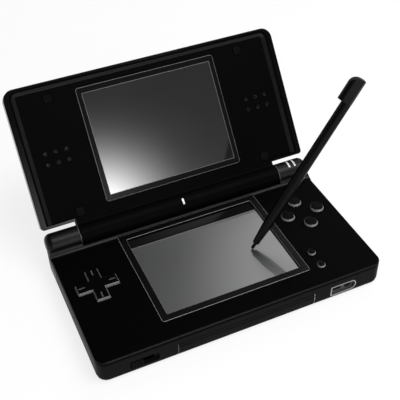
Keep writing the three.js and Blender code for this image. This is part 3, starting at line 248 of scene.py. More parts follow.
# In degrees: its lean from upright, and from +X towards +Y the way that it leans and the way that
# the back of its cap faces
STYLUS_LEAN = 35
STYLUS_HEADING = 5
STYLUS_BACK_HEADING = -23.6

# Smoothness of the modelled meshes, in facets
CORNER_STEPS = 12
EDGE_STEPS = 8
ROUND_STEPS = 96
SMALL_STEPS = 48
HOLE_STEPS = 24

# For cuts: how far a tool reaches past its solid, the least corner, and how near counts as the same,
# in millimetres and for the angle in degrees
OVER = 1.0
LEAST_CORNER = 0.1
NEAR = 0.01
WELD_REACH = 0.002
FLAT_ANGLE = 0.3

# Finished parts: how near points are one, in millimetres, and how near planes are one and from what
# angle an edge is rounded or stays sharp, in degrees
PART_WELD = 0.001
PART_FLAT = 0.4
ROUNDED_FROM = 40
SHARP_FROM = 35
NORMAL_WEIGHT = 100

# Where a surface takes another finish: how far its normal leans towards the axis, from 0 to 1
SLOPE_LIMIT = 0.97
FLARE_LIMIT = 0.95
FLAT_LIMIT = 0.9
EDGE_LIMITS = (0.25, 0.8)
WALL_LIMIT, SHOULDER_LIMIT = 0.8, 0.93
GROOVE_LIMIT = 0.3
CAP_BACK_LIMIT, CAP_TOP_LIMIT = 0.35, 0.1


def linear(text):
    """The linear colour of an sRGB hex value."""
    channels = [int(text[i:i + 2], 16) / 255 for i in (1, 3, 5)]
    return tuple(c / 12.92 if c <= 0.04045 else ((c + 0.055) / 1.055) ** 2.4 for c in channels)


# Properties

class HandheldColours(bpy.types.PropertyGroup):
    """The colours that a user would change."""
    shell: FloatVectorProperty(
        name="Shell", description="Polished cover of the lid and the stylus", subtype="COLOR",
        min=0, max=1, default=linear("#050506"))
    deck: FloatVectorProperty(
        name="Deck", description="Satin deck round the touch panel", subtype="COLOR",
        min=0, max=1, default=linear("#030303"))
    case: FloatVectorProperty(
        name="Lower case", description="Lower case, slot cover and battery cover", subtype="COLOR",
        min=0, max=1, default=linear("#0A0A0B"))
    face: FloatVectorProperty(
        name="Lid face", description="Face round the upper screen", subtype="COLOR",
        min=0, max=1, default=linear("#040404"))
    button: FloatVectorProperty(
        name="Buttons", description="Buttons, pad, triggers and sliders", subtype="COLOR",
        min=0, max=1, default=linear("#040404"))
    touch_film: FloatVectorProperty(
        name="Touch film", description="Touch panel over the unlit display", subtype="COLOR",
        min=0, max=1, default=linear("#232425"))
    display: FloatVectorProperty(
        name="Upper display", description="Unlit upper display behind its lens", subtype="COLOR",
        min=0, max=1, default=linear("#1A1A1B"))


class HandheldSizes(bpy.types.PropertyGroup):
    """The sizes that a user would change; the rest follow the CAD frame."""
    edge_round: FloatProperty(
        name="Edge round", description="Rounding of the edges of finished parts", unit="LENGTH",
        min=0.02 * MM, max=0.4 * MM, default=0.1 * MM)
    edge_steps: IntProperty(
        name="Edge steps", description="Facets across a rounded edge", min=1, max=5, default=2)
    control_round: FloatProperty(
        name="Control round", description="Round between a control's wall and its top", unit="LENGTH",
        min=0.1 * MM, max=0.6 * MM, default=0.3 * MM)
    button_crown: FloatProperty(
        name="Button crown", description="How far a round button's top swells", unit="LENGTH",
        min=0.02 * MM, max=0.3 * MM, default=0.12 * MM)
    groove_depth: FloatProperty(
        name="Groove depth", description="Depth of the grooves in the cross pad", unit="LENGTH",
        min=0.1 * MM, max=0.5 * MM, default=0.3 * MM)
    speaker_hole: FloatProperty(
        name="Speaker hole", description="Radius of a speaker hole", unit="LENGTH",
        min=0.3 * MM, max=1.0 * MM, default=0.6 * MM)
    pad_proud: FloatProperty(
        name="Pad height", description="How far the rubber pads stand out of the lid", unit="LENGTH",
        min=0.1 * MM, max=0.5 * MM, default=0.3 * MM)
    lens_side_border: FloatProperty(
        name="Lens side border", description="Printed border at the lens' sides", unit="LENGTH",
        min=1 * MM, max=4 * MM, default=2.35 * MM)
    lens_end_border: FloatProperty(
        name="Lens end border", description="Printed border along the lens' long edges",
        unit="LENGTH", min=1 * MM, max=4 * MM, default=2.65 * MM)
    # Painted shade: width of the dark strip painted along the touch panel's far edge
    frame_strip: FloatProperty(
        name="Painted shade strip", description="Dark strip painted as shade along the touch panel's far edge", unit="LENGTH",
        min=1 * MM, max=8 * MM, default=5.7 * MM)
    camera_lens: FloatProperty(
        name="Camera lens", description="Focal length of the camera", unit="CAMERA",
        min=20, max=200, default=70.698)
    lamp_power: FloatProperty(
        name="Lamp power", description="Power of the lamp overhead", unit="POWER",
        min=0, max=100, default=14)


def size(name):
    """A size that the user may change, in millimetres."""
    return getattr(bpy.context.scene.handheld_sizes, name) / MM


# Solids in millimetres: a list of points and a list of faces

class Plan:
    """A rectangle with rounded corners; the corners at the back may have a radius of their own."""

    def __init__(self, left, right, front, back, corner, back_corner=None):
        self.left, self.right, self.front, self.back = left, right, front, back
        self.corner = corner
        self.back_corner = corner if back_corner is None else back_corner

    def inset(self, side, front=None, back=None):
        front = side if front is None else front
        back = front if back is None else back
        return Plan(self.left + side, self.right - side, self.front + front, self.back - back,
                    max(self.corner - min(side, front), LEAST_CORNER),
                    max(self.back_corner - min(side, back), LEAST_CORNER))

    def holds(self, at):
        return self.left < at.x < self.right and self.front < at.y < self.back

    def outline(self, steps=CORNER_STEPS):
        """The outline's points, anticlockwise."""
        c, b = self.corner, self.back_corner
        corners = ((self.right - c, self.front + c, c, -90), (self.right - b, self.back - b, b, 0),
                   (self.left + b, self.back - b, b, 90), (self.left + c, self.front + c, c, 180))
        return [(x + r * math.cos(math.radians(start + 90 * i / steps)),
                 y + r * math.sin(math.radians(start + 90 * i / steps)))
                for x, y, r, start in corners for i in range(steps + 1)]


def plan_at(x, y, width, depth, corner):
    return Plan(x - width / 2, x + width / 2, y - depth / 2, y + depth / 2, corner)


def loft(rings):
    """A closed solid through rings of as many points each, from the first to the last."""
    count = len(rings[0])
    points = [p for ring in rings for p in ring]
    faces = [tuple(range(count))[::-1], tuple(range(len(points) - count, len(points)))]
    for start in range(0, len(points) - count, count):
        for i in range(count):
            j = (i + 1) % count
            faces.append((start + i, start + j, start + count + j, start + count + i))
    return points, faces


def stack(levels, steps=CORNER_STEPS):
    """Joins plans at rising heights into one solid."""
    return loft([[(x, y, z) for x, y in plan.outline(steps)] for z, plan in levels])


def slab(plan, bottom, top, steps=CORNER_STEPS):
    return stack([(bottom, plan), (top, plan)], steps)


def loaf(plan, bottom, top, bottom_round=0.0, top_round=0.0, steps=CORNER_STEPS):
    """A slab whose bottom and top edges may be rounded over."""
    levels = []
    for i in range(EDGE_STEPS + 1 if bottom_round else 1):
        angle = math.pi / 2 * i / EDGE_STEPS
        levels.append((bottom + bottom_round * (1 - math.cos(angle)),
                       plan.inset(bottom_round * (1 - math.sin(angle)))))
    for i in range(EDGE_STEPS + 1 if top_round else 1):
        angle = math.pi / 2 * i / EDGE_STEPS
        levels.append((top - top_round * (1 - math.sin(angle)),
                       plan.inset(top_round * (1 - math.cos(angle)))))
    return stack(levels, steps)


def block(left, right, front, back, bottom, top):
    return loft([[(left, front, z), (right, front, z), (right, back, z), (left, back, z)]
                 for z in (bottom, top)])


def turned(profile, steps=SMALL_STEPS):
    """Turns radius and height pairs round Z; the first and last lie on the axis."""
    rings = profile[1:-1]
    points = [(r * math.cos(math.tau * i / steps), r * math.sin(math.tau * i / steps), z)
              for r, z in rings for i in range(steps)]
    first, last = len(points), len(points) + 1
    points += [(0, 0, profile[0][1]), (0, 0, profile[-1][1])]
    top = (len(rings) - 1) * steps
    faces = []
    for i in range(steps):
        j = (i + 1) % steps
        faces += [(first, j, i), (last, top + i, top + j)]
        for start in range(0, top, steps):
            faces.append((start + i, start + j, start + steps + j, start + steps + i))
    return points, faces


def disc(x, y, radius, bottom, top, top_radius=None, steps=SMALL_STEPS):
    """An upright round body that may taper towards the top."""
    upper = radius if top_radius is None else top_radius
    return moved(turned([(0, bottom), (radius, bottom), (upper, top), (0, top)], steps), x, y, 0)


def prism(outline, start, end, axis="Z"):
    """Pushes an anticlockwise outline along Z, one in Y and Z along X, or one in X and Z along Y."""
    if axis == "X":
        return loft([[(x, a, b) for a, b in outline] for x in (start, end)])
    if axis == "Y":
        return loft([[(a, y, b) for a, b in outline] for y in (end, start)])
    return loft([[(a, b, z) for a, b in outline] for z in (start, end)])


def rod(radius, left, right, y=HINGE_Y, z=HINGE_Z, chamfer=0.0):
    """A round body along X, with small chamfers on its ends."""
    profile = [(0, left), (radius - chamfer, left), (radius, left + chamfer),
               (radius, right - chamfer), (radius - chamfer, right), (0, right)]
    if not chamfer:
        profile = [(0, left), (radius, left), (radius, right), (0, right)]
    return along_x(turned(profile, ROUND_STEPS), y, z)


def along_x(solid, y, z):
    """Lays a solid turned round Z along X, through y, z."""
    points, faces = solid
    return [(pz, y + px, z + py) for px, py, pz in points], faces


def moved(solid, x, y, z):
    points, faces = solid
    return [(px + x, py + y, pz + z) for px, py, pz in points], faces


def mirrored(solid):
    points, faces = solid
    return [(-x, y, z) for x, y, z in points], [face[::-1] for face in faces]


def arc(x, y, radius, start, end, steps=EDGE_STEPS):
    """Points on an arc; angles in degrees."""
    return [(x + radius * math.cos(math.radians(start + (end - start) * i / steps)),
             y + radius * math.sin(math.radians(start + (end - start) * i / steps)))
            for i in range(steps + 1)]


def tube_slice(inner, outer, start, end, left, right):
    """A slice of a tube wall round an axis along X; angles from +Y towards +Z."""
    outline = arc(0, 0, outer, start, end) + arc(0, 0, inner, end, start)
    return prism(outline, left, right, "X")


def together(*solids):
    """Several solids that don't touch, as one."""
    points, faces = [], []
    for more_points, more_faces in solids:
        start = len(points)
        points += more_points
        faces += [tuple(i + start for i in face) for face in more_faces]
    return points, faces


def raw_mesh(name, solid):
    """A Blender mesh in metres with its faces turned outwards."""
    points, faces = solid
    mesh = bpy.data.meshes.new(name)
    mesh.from_pydata([Vector(p) * MM for p in points], [], faces)
    shape = bmesh.new()
    shape.from_mesh(mesh)
    bmesh.ops.recalc_face_normals(shape, faces=shape.faces)
    shape.to_mesh(mesh)
    shape.free()
    return mesh


def carve(name, solid, *steps):
    """Joins and cuts solids with the exact solver: each step is an operation and a solid."""
    target = bpy.data.objects.new(name, raw_mesh(name, solid))
    bpy.context.scene.collection.objects.link(target)
    tools = []
    for operation, tool in steps:
        other = bpy.data.objects.new("tool", raw_mesh("tool", tool))
        bpy.context.scene.collection.objects.link(other)
        modifier = target.modifiers.new("step", "BOOLEAN")
        modifier.operation = operation
        modifier.solver = "EXACT"
        modifier.object = other
        tools.append(other)
    graph = bpy.context.evaluated_depsgraph_get()
    mesh = bpy.data.meshes.new_from_object(target.evaluated_get(graph))
    for each in [target, *tools]:
        bpy.data.objects.remove(each)
    shape = bmesh.new()
    shape.from_mesh(mesh)
    bmesh.ops.remove_doubles(shape, verts=shape.verts, dist=WELD_REACH * MM)
    bmesh.ops.dissolve_limit(shape, angle_limit=math.radians(FLAT_ANGLE), verts=shape.verts,
                             edges=shape.edges)
    shape.to_mesh(mesh)
    shape.free()
    mesh.materials.clear()
    mesh.name = name
    return mesh


JOIN, CUT, KEEP = "UNION", "DIFFERENCE", "INTERSECT"


# Pieces

def take(mesh, *names):
    """Gives a mesh the materials that its faces choose from, in order."""
    for name in names:
        mesh.materials.append(finishes()[name])


def smooth_faces(piece):
    """Smooth shading that keeps flat faces flat and sharp edges sharp."""
    piece.data.shade_smooth()
    piece.data.set_sharp_from_angle(angle=math.radians(SHARP_FROM))
    normals = piece.modifiers.new("normals", "WEIGHTED_NORMAL")
    normals.weight = NORMAL_WEIGHT
    normals.keep_sharp = True


def place_piece(name, mesh, material, body, slot, *nodes, place=None):
    """Puts a modelled mesh in the scene for the CAD nodes it stands for; it may bring its materials."""
    if place:
        mesh.transform(place)
    piece = bpy.data.objects.new(name, mesh)
    bpy.context.scene.collection.objects.link(piece)
    if not mesh.materials:
        mesh.materials.append(material)
    smooth_faces(piece)
    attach(piece, body)
    if nodes:
        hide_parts(*nodes)
    return piece


def dress(node, material, slot, accent=None):
    """Gives a CAD node its finish, smooth faces and finely rounded edges. An accent is a second
    material and the test, on a face's middle and normal, for the faces that it goes on."""
    sizes = bpy.context.scene.handheld_sizes
    piece = frame["nodes"][node]
    piece.data.materials.clear()
    piece.data.materials.append(material)
    if accent:
        piece.data.materials.append(accent[0])
        for each in piece.data.polygons:
            each.material_index = int(accent[1](each.center / MM, each.normal))
    imported = piece.data.attributes.get("custom_normal")
    if imported:
        piece.data.attributes.remove(imported)
    piece.data.shade_smooth()
    weld = piece.modifiers.new("weld", "WELD")
    weld.merge_threshold = PART_WELD * MM
    flat = piece.modifiers.new("flat", "DECIMATE")
    flat.decimate_type = "DISSOLVE"
    flat.angle_limit = math.radians(PART_FLAT)
    bevel = piece.modifiers.new("edges", "BEVEL")
    bevel.width = sizes.edge_round
    bevel.segments = sizes.edge_steps
    bevel.limit_method = "ANGLE"
    bevel.angle_limit = math.radians(ROUNDED_FROM)
    bevel.use_clamp_overlap = False
    normals = piece.modifiers.new("normals", "WEIGHTED_NORMAL")
    normals.weight = NORMAL_WEIGHT
    normals.keep_sharp = True
    return piece


# Materials

def add(tree, kind, settings=None, sockets=None):
    """Adds a node: its settings by name, and for each socket a value, or a (node, output) to link."""
    node = tree.nodes.new(kind)
    for name, value in (settings or {}).items():
        setattr(node, name, value)
    for name, value in (sockets or {}).items():
        if isinstance(value, tuple) and len(value) == 2:
            tree.links.new(value[0].outputs[value[1]], node.inputs[name])
        else:
            node.inputs[name].default_value = value
    return node


def surface(name, colour, roughness, specular=0.5, ior=1.5, metallic=0.0, coat=0.0,
            patch=6.0, grain=(0.4, 0.004)):
    """A material whose roughness drifts between two values over patches, as handling leaves it, and
    whose grain is a bump; the patch, and the pitch and depth of the grain, are in millimetres."""
    material = bpy.data.materials.new(name)
    material.use_nodes = True
    tree = material.node_tree
    tree.nodes.clear()
    place = (add(tree, "ShaderNodeTexCoord"), "Object")
    drift = add(tree, "ShaderNodeTexNoise", None,
                {"Vector": place, "Scale": 1 / (patch * MM), "Detail": 4.0})
    low, high = roughness
    ramp = add(tree, "ShaderNodeMapRange", None,
               {"Value": (drift, "Fac"), "From Min": 0.3, "From Max": 0.7, "To Min": low,
                "To Max": high})
    sockets = {"Base Color": (*colour, 1), "Roughness": (ramp, "Result"), "IOR": ior,
               "Metallic": metallic, "Specular IOR Level": specular, "Coat Weight": coat}
    if grain:
        pitch, depth = grain
        cells = add(tree, "ShaderNodeTexNoise", None,
                    {"Vector": place, "Scale": 1 / (pitch * MM), "Detail": 3.0, "Roughness": 0.55})
        bump = add(tree, "ShaderNodeBump", None,
                   {"Height": (cells, "Fac"), "Strength": 1.0, "Distance": depth * MM})
        sockets["Normal"] = (bump, "Normal")
    shader = add(tree, "ShaderNodeBsdfPrincipled", None, sockets)
    add(tree, "ShaderNodeOutputMaterial", None, {"Surface": (shader, "BSDF")})


def finishes():
    """Every material, made once, by the name that the pieces ask for."""
    made = bpy.data.materials
    if "polished_black_abs" in made:
        return made
    colours = bpy.context.scene.handheld_colours

    # A polished tool leaves ABS smooth, with a long faint ripple from the way it shrank
    polished = {"ior": 1.53, "patch": 14, "grain": (9, 0.003)}
    # A spark-eroded tool leaves it pitted; the real pits are 0.08 mm apart, drawn coarser to show
    eroded = {"ior": 1.53, "patch": 11, "grain": (0.32, 0.005)}
    # Cast acrylic has no grain
    acrylic = {"ior": 1.49, "patch": 25, "grain": None}
    # Moulded silicone: a soft fine pebble
    silicone = {"grain": (0.2, 0.01)}

    # Moulded in a polished tool: a deep black with sharp, faintly rippled reflections
    surface("polished_black_abs", colours.shell, (0.1, 0.17), 0.09, **polished)
    # The same, rubbed dull by fingers: black tops with hardly a shine
    surface("moulded_black_abs_button", colours.button, (0.25, 0.33), 0.02, **polished)
    # The polished round between top and wall: a bright ring where it catches the light
    surface("polished_black_abs_shoulder", colours.button, (0.2, 0.26), 0.8, **polished)
    # Handled all over: the same black with a softer shine along its length
    surface("polished_black_abs_stylus", colours.shell, (0.22, 0.3), 0.09, **polished)
    # Moulded in a spark-eroded tool: fine pits scatter the light into a dull black
    surface("satin_black_abs_deck", colours.deck, (0.36, 0.45), 0.012, **eroded)
    # The same where it curves to the hinge or over the edge: a soft grey sheen on the black
    surface("satin_black_abs_hinge", colours.deck, (0.34, 0.43), 0.13, **eroded)
    # The slope inside the lid's rim: a soft grey band round the black face
    surface("satin_black_abs_slope", colours.face, (0.34, 0.43), 0.16, **eroded)
    # The lower case: dull, and a shade lighter than the deck
    surface("satin_black_abs_case", colours.case, (0.38, 0.47), 0.03, **eroded)
    # The flat face round the upper screen: the dullest black of all
    surface("satin_black_abs_lid_face", colours.face, (0.38, 0.47), 0.01, **eroded)
    # The bezel of the lower screen: black with a little more sheen than the deck round it
    surface("satin_black_abs_bezel", colours.deck, (0.26, 0.35), 0.06, **eroded)
    # Painted highlight: a thin light grey line painted on chamfers, edges and seams, standing in for the
    # light that they catch
    surface("scraped_black_abs_edge", linear("#6E6E70"), (0.425, 0.575))
    # Painted highlight: the pad's walls painted matt mid grey, standing in for the light that they
    # catch, beside the black top
    surface("ground_black_abs_wall", linear("#525254"), (0.425, 0.575))
    # Painted highlight: the round buttons' walls painted a lighter grey ring, standing in for the light
    # that they catch
    surface("ground_black_abs_collar", linear("#6A6A6C"), (0.425, 0.575))
    # Painted highlight: the ends of the slot cover's gap painted as a hair-thin pale line
    surface("scuffed_black_abs_seam", linear("#C4C4C6"), (0.51, 0.69))
    # Painted highlight: the grooves and the rims of the speaker holes painted grey, standing in for the
    # light that they catch
    surface("scraped_black_abs_mark", linear("#4A4A4C"), (0.51, 0.69))
    # Painted light: the back of the stylus cap painted dark grey, lighter than the rest, as its lit side
    surface("moulded_black_abs_cap_back", linear("#2C2C2D"), (0.34, 0.46), 0.1)
    # Resistive film over glass: grey, with a strong soft mirror from its many layers
    surface("resistive_touch_film", colours.touch_film, (0.27, 0.31), 0.4, 2.1, coat=1.0, patch=20,
            grain=None)
    # Painted shade: the same film painted near black in a strip along its far edge, with a sharp shine
    surface("film_over_black_frame", linear("#0A0A0A"), (0.05, 0.08), 0.12, **acrylic)
    # Hard-coated acrylic over the unlit display: a sharp mirror over dark grey
    surface("acrylic_over_display", colours.display, (0.05, 0.08), 1.0, **acrylic)
    # The same acrylic over its printed border: a black that shows no depth
    surface("acrylic_over_black_print", linear("#101011"), (0.05, 0.08), 0.02, **acrylic)
    # Painted highlight: the lens' chamfer painted light grey, a fine bright line
    surface("acrylic_polished_edge", linear("#77787A"), (0.15, 0.25), 0.5, **acrylic)
    # Painted highlight: a fine grey line painted along the edge of the print, seen through the acrylic
    surface("acrylic_window_line", linear("#4A4A4C"), (0.255, 0.345))
    # Glass and polariser in a pressed frame: smooth mid grey
    surface("liquid_crystal_module", linear("#4A4A4D"), (0.255, 0.345))
    # Epoxy-glass laminate under solder resist: even green, faintly woven
    surface("glass_epoxy_board", linear("#1E4A34"), (0.425, 0.575))
    # Moulded polycarbonate: smooth dark blue grey
    surface("battery_pack_polycarbonate", linear("#3E4146"), (0.425, 0.575))
    # Moulded silicone, undyed: soft mid grey without a shine
    surface("silicone_rubber", linear("#4C4C4D"), (0.68, 0.92), **silicone)
    # The same dyed black: dead matt, so that the pads read as dark squares
    surface("black_silicone_rubber", linear("#080808"), (0.68, 0.92), 0.03, **silicone)
    # Pressed or turned steel under bright zinc: pale grey with blurred reflections
    surface("zinc_plated_steel", linear("#A6A7AA"), (0.255, 0.345), metallic=1.0)
    # Glass-filled nylon, moulded: pale grey and dry
    surface("glass_filled_nylon", linear("#8E8F92"), (0.425, 0.575))
    # Nickel plate, worn by plugs: a light metal line round the socket
    surface("nickel_plated_rim", linear("#8C8D90"), (0.2975, 0.4025), metallic=0.6)
    # Glass-filled nylon from a coarse tool: dark grey, rough enough to show its grain
    surface("glass_filled_nylon_socket", linear("#39393B"), (0.425, 0.575), grain=(0.5, 0.06))
    # Clear polycarbonate over a lamp that is off: milky pale grey
    surface("polycarbonate_light_pipe", linear("#C4C5C7"), (0.17, 0.23), ior=1.58)
    # Woven dust mesh, threads 0.15 mm apart: dark grey and rough
    surface("speaker_dust_mesh", linear("#55565A"), (0.51, 0.69), grain=(0.15, 0.03))
    # Polyimide film: smooth amber brown
    surface("polyimide_flex", linear("#8A5A22"), (0.2975, 0.4025))
    return made


# Lid

def lid_plan():
    return Plan(LID_LOW.x, LID_HIGH.x, LID_LOW.y + LID_END_PLAY, LID_HIGH.y, LID_CORNER,
                LID_HINGE_CORNER)


def lens_plan():
    return Plan(LENS_LOW.x, LENS_HIGH.x, LENS_LOW.y, LENS_HIGH.y, LENS_CORNER)


def lens_window():
    return lens_plan().inset(size("lens_side_border"), size("lens_end_border"),
                             size("lens_end_border"))


def rim_plan():
    return lid_plan().inset(LID_SIDE_RIM, LID_END_RIM, LID_END_RIM)


def tray_plan():
    return rim_plan().inset(FIT_GAP)


def lid_cover():
    shell = loaf(lid_plan(), LID_LOW.z, LID_HIGH.z, LID_RIM_ROUND, LID_ROUND)
    hollow = loaf(rim_plan(), LID_LOW.z - OVER, LID_HIGH.z - LID_COVER, 0, LID_COVER)
    neck = block(-EAR_INNER, EAR_INNER, LID_HIGH.y - LID_SIDE_RIM, OVER, LID_LOW.z - OVER,
                 NECK_TOP + SLIDE_GAP)
    return carve("lid_cover_shell", shell, (CUT, hollow), (CUT, neck))


def tray_room():
    """The room over the flat face, inside the raised edge with its soft slope."""
    tray = tray_plan()
    levels = [(LID_LOW.z - OVER, tray.inset(TRAY_LIP, TRAY_LIP, -OVER))]
    low = LID_LOW.z + LID_RIM_ROUND / 2
    steps = EDGE_STEPS * 2
    for i in range(steps + 1):
        share = i / steps
        rise = share * share * (3 - 2 * share)
        levels.append((low + (LID_FACE - low) * rise,
                       tray.inset(TRAY_LIP + SLOPE_SIDE * share, TRAY_LIP + SLOPE_END * share, -OVER)))
    return stack(levels)


def crease_fill():
    """The small fillet where the flat face runs into the barrel."""
    reach = BARREL_RADIUS + CREASE
    drop = LID_FACE - CREASE
    y = -math.sqrt(reach * reach - drop * drop)
    end = math.degrees(math.asin(-drop / reach))
    outline = [(y, 0.0)] + arc(y, drop, CREASE, 90, end) + [(-NECK_BASE, 0.0)]
    return prism(outline, -BARREL_HALF, BARREL_HALF, "X")


def speaker_places():
    for node in SPEAKERS:
        at = middle(node, LID_PLACE)
        for column in SPEAKER_COLUMNS:
            for row in SPEAKER_ROWS:
                yield at.x + column * SPEAKER_PITCH, at.y + row * SPEAKER_PITCH


def bar_slice(start, end, gap):
    """A narrow bar let into the barrel or an ear, grown on every side by gap."""
    turn = math.degrees(gap / BARREL_RADIUS)
    reach = BAR_WIDTH / 2 + gap
    return tube_slice(BARREL_RADIUS - SLOT_DEPTH - gap, BARREL_RADIUS + gap, start - turn, end + turn,
                      -reach, reach)


def mic_slice(gap):
    return bar_slice(MIC_START + LID_OPENING, MIC_END + LID_OPENING, gap)


def inner_frame():
    """The lid's inner frame with the hinge barrel, its bores, and the seats of lens and pads."""
    tray = tray_plan()
    back = LID_FACE + FRAME_THICKNESS
    pads = [middle(node, LID_PLACE) for node in PADS]
    pocket = PAD_SIZE + FIT_GAP * 2
    radius = size("speaker_hole")
    holes = [disc(x, y, radius, LID_FACE - SPEAKER_FLARE_DEPTH * 2, back + OVER, steps=HOLE_STEPS)
             for x, y in speaker_places()]
    flares = [disc(x, y, radius + SPEAKER_FLARE, LID_FACE - SPEAKER_FLARE_TOP,
                   LID_FACE + SPEAKER_FLARE_DEPTH, radius, steps=HOLE_STEPS)
              for x, y in speaker_places()]
    pockets = [slab(plan_at(p.x, p.y, pocket, pocket, PAD_CORNER), LID_FACE - OVER,
                    LID_FACE + PAD_POCKET) for p in pads]
    return carve(
        "lid_inner_panel", slab(tray, LID_LOW.z + PARTING, back),
        (CUT, tray_room()),
        (JOIN, block(-BARREL_HALF, BARREL_HALF, tray.back - OVER, -NECK_BASE, LID_FACE, NECK_TOP)),
        (JOIN, crease_fill()),
        (JOIN, rod(BARREL_RADIUS, -BARREL_HALF, BARREL_HALF, 0, 0, SEAM_CHAMFER)),
        (CUT, slab(lens_plan().inset(-FIT_GAP), LID_FACE - OVER, LENS_HIGH.z + LENS_GLUE)),
        (CUT, slab(lens_window(), LID_FACE, back + OVER)),
        (CUT, together(*holes)), (CUT, together(*flares)), (CUT, together(*pockets)),
        (CUT, mic_slice(SLOT_GAP)),
        (CUT, rod(RIBBON_BORE, -BARREL_HALF - OVER, RIBBON_BORE_END, 0, 0)),
        (CUT, rod(PIN_BORE, 0, BARREL_HALF + OVER, 0, 0)))


def upper_lens():
    """The lens with its chamfered edge and the window's edge painted as highlight lines, and its printed
    border.
    """
    lens, window = lens_plan(), lens_window()
    display = window.inset(LENS_LINE)
    face = LENS_LOW.z
    mesh = raw_mesh("upper_lens_plate", stack([
        (LENS_HIGH.z, lens), (face + LENS_CHAMFER, lens), (face, lens.inset(LENS_CHAMFER)),
        (face, window), (face, display)]))
    take(mesh, "acrylic_over_black_print", "acrylic_polished_edge", "acrylic_over_display",
         "acrylic_window_line")
    for each in mesh.polygons:
        at = each.center / MM
        # Painted highlight: the chamfer and a fine line round the window take light grey materials
        if face + NEAR < at.z < face + LENS_CHAMFER:
            each.material_index = 1
        elif abs(at.z - face) < NEAR and window.holds(at):
            each.material_index = 2 if display.holds(at) else 3
    return mesh


def dressed_frame():
    """The inner frame: dull on its face, softer on the slope inside the rim, with a painted highlight on
    the rims of its holes.
    """
    panel = inner_frame()
    take(panel, "satin_black_abs_lid_face", "satin_black_abs_slope", "scraped_black_abs_mark")
    face = tray_plan().inset(TRAY_LIP + SLOPE_SIDE - SLOPE_FOOT, TRAY_LIP + SLOPE_END - SLOPE_FOOT,
                             -OVER)
    reach = size("speaker_hole") + SPEAKER_EDGE
    places = list(speaker_places())
    for each in panel.polygons:
        at = each.center / MM
        level = abs(each.normal.z)
        inside = face.left < at.x < face.right and face.front < at.y
        flare = LID_FACE - SPEAKER_FLARE_TOP / 2 < at.z < LID_FACE + SPEAKER_FLARE_TOP
        hole = any(math.hypot(at.x - x, at.y - y) < reach for x, y in places)
        if at.z < LID_FACE - NEAR and not inside and level < SLOPE_LIMIT:
            each.material_index = 1
        # Painted highlight: the flared rims of the speaker holes are painted grey
        elif hole and flare and level < FLARE_LIMIT:
            each.material_index = 2
    return panel


class HANDHELD_OT_lid(bpy.types.Operator):
    """Build the lid's cover, its inner frame with the hinge barrel, lens, pads and microphone"""
    bl_idname = "handheld.lid"
    bl_label = "Lid"

    def execute(self, context):
        made = finishes()
        place_piece("lid_cover_shell", lid_cover(), made["polished_black_abs"], "lid", "gloss_shell",
                    "lid_outer_cover", place=LID_PLACE)
        place_piece("lid_inner_panel", dressed_frame(), None, "lid", "face_panel", "lid_inner_frame",
                    place=LID_PLACE)
        place_piece("upper_lens_plate", upper_lens(), None, "lid", "lens", "upper_lens", place=LID_PLACE)
        proud = size("pad_proud")
        for i, node in enumerate(PADS, 1):
            at = middle(node, LID_PLACE)
            pad = loaf(plan_at(at.x, at.y, PAD_SIZE, PAD_SIZE, PAD_CORNER), LID_FACE - proud,
                       LID_FACE + PAD_POCKET - SLOT_GAP, proud / 2)
            place_piece(f"lid_bumper_{i}", raw_mesh(f"lid_bumper_{i}", pad),
                        made["black_silicone_rubber"], "lid", "rubber", node, place=LID_PLACE)
        place_piece("microphone_window", raw_mesh("microphone_window", mic_slice(0)),
                    made["polycarbonate_light_pipe"], "lid", "light_window", "microphone",
                    place=LID_PLACE)
        for node in SPEAKERS:
            at = middle(node, LID_PLACE)
            low, high = limits(node, LID_PLACE)
            radius = (high.x - low.x) / 2
            body = moved(turned([(0, low.z), (radius, low.z), (radius, high.z - SPEAKER_EDGE),
                                 (radius - SPEAKER_EDGE, high.z), (0, high.z)]), at.x, at.y, 0)
            place_piece(f"{node}_unit", raw_mesh(f"{node}_unit", body), made["speaker_dust_mesh"],
                        "lid", "steel", node, place=LID_PLACE)
        return {"FINISHED"}


# Base

def case_plan():
    return Plan(CASE_LOW.x, CASE_HIGH.x, CASE_LOW.y, CASE_HIGH.y, CASE_CORNER)


def bezel_plan():
    return Plan(BEZEL_LOW.x, BEZEL_HIGH.x, BEZEL_LOW.y, BEZEL_HIGH.y, BEZEL_CORNER)


def touch_window():
    plan = bezel_plan().inset(BEZEL_RIM)
    plan.corner = plan.back_corner = WINDOW_CORNER
    return plan


def sweep_ridge():
    """The deck's sweep up to the hinge, tangent to the deck and to the ears."""
    reach = BARREL_RADIUS + SWEEP_RADIUS
    centre_z = DECK_TOP + SWEEP_RADIUS
    rise = centre_z - HINGE_Z
    y = HINGE_Y - math.sqrt(reach * reach - rise * rise)
    end = -math.degrees(math.asin(rise / reach))
    outline = ([(y, DECK_UNDERSIDE)] + arc(y, centre_z, SWEEP_RADIUS, -90, end, EDGE_STEPS * 2)
               + [(HINGE_Y, HINGE_Z), (HINGE_Y, DECK_UNDERSIDE)])
    return carve("ridge", prism(outline[::-1], CASE_LOW.x, CASE_HIGH.x, "X"),
                 (KEEP, loaf(case_plan(), 0, SWEEP_TOP, 0, SWEEP_RADIUS)),
                 (CUT, block(-EAR_INNER, EAR_INNER, 0, HINGE_Y + OVER, LIP_TOP, SWEEP_TOP + OVER)))


def solid_of(mesh):
    """The points in millimetres and the faces of a mesh, which is then dropped."""
    solid = ([tuple(v.co / MM) for v in mesh.vertices], [tuple(p.vertices) for p in mesh.polygons])
    bpy.data.meshes.remove(mesh)
    return solid


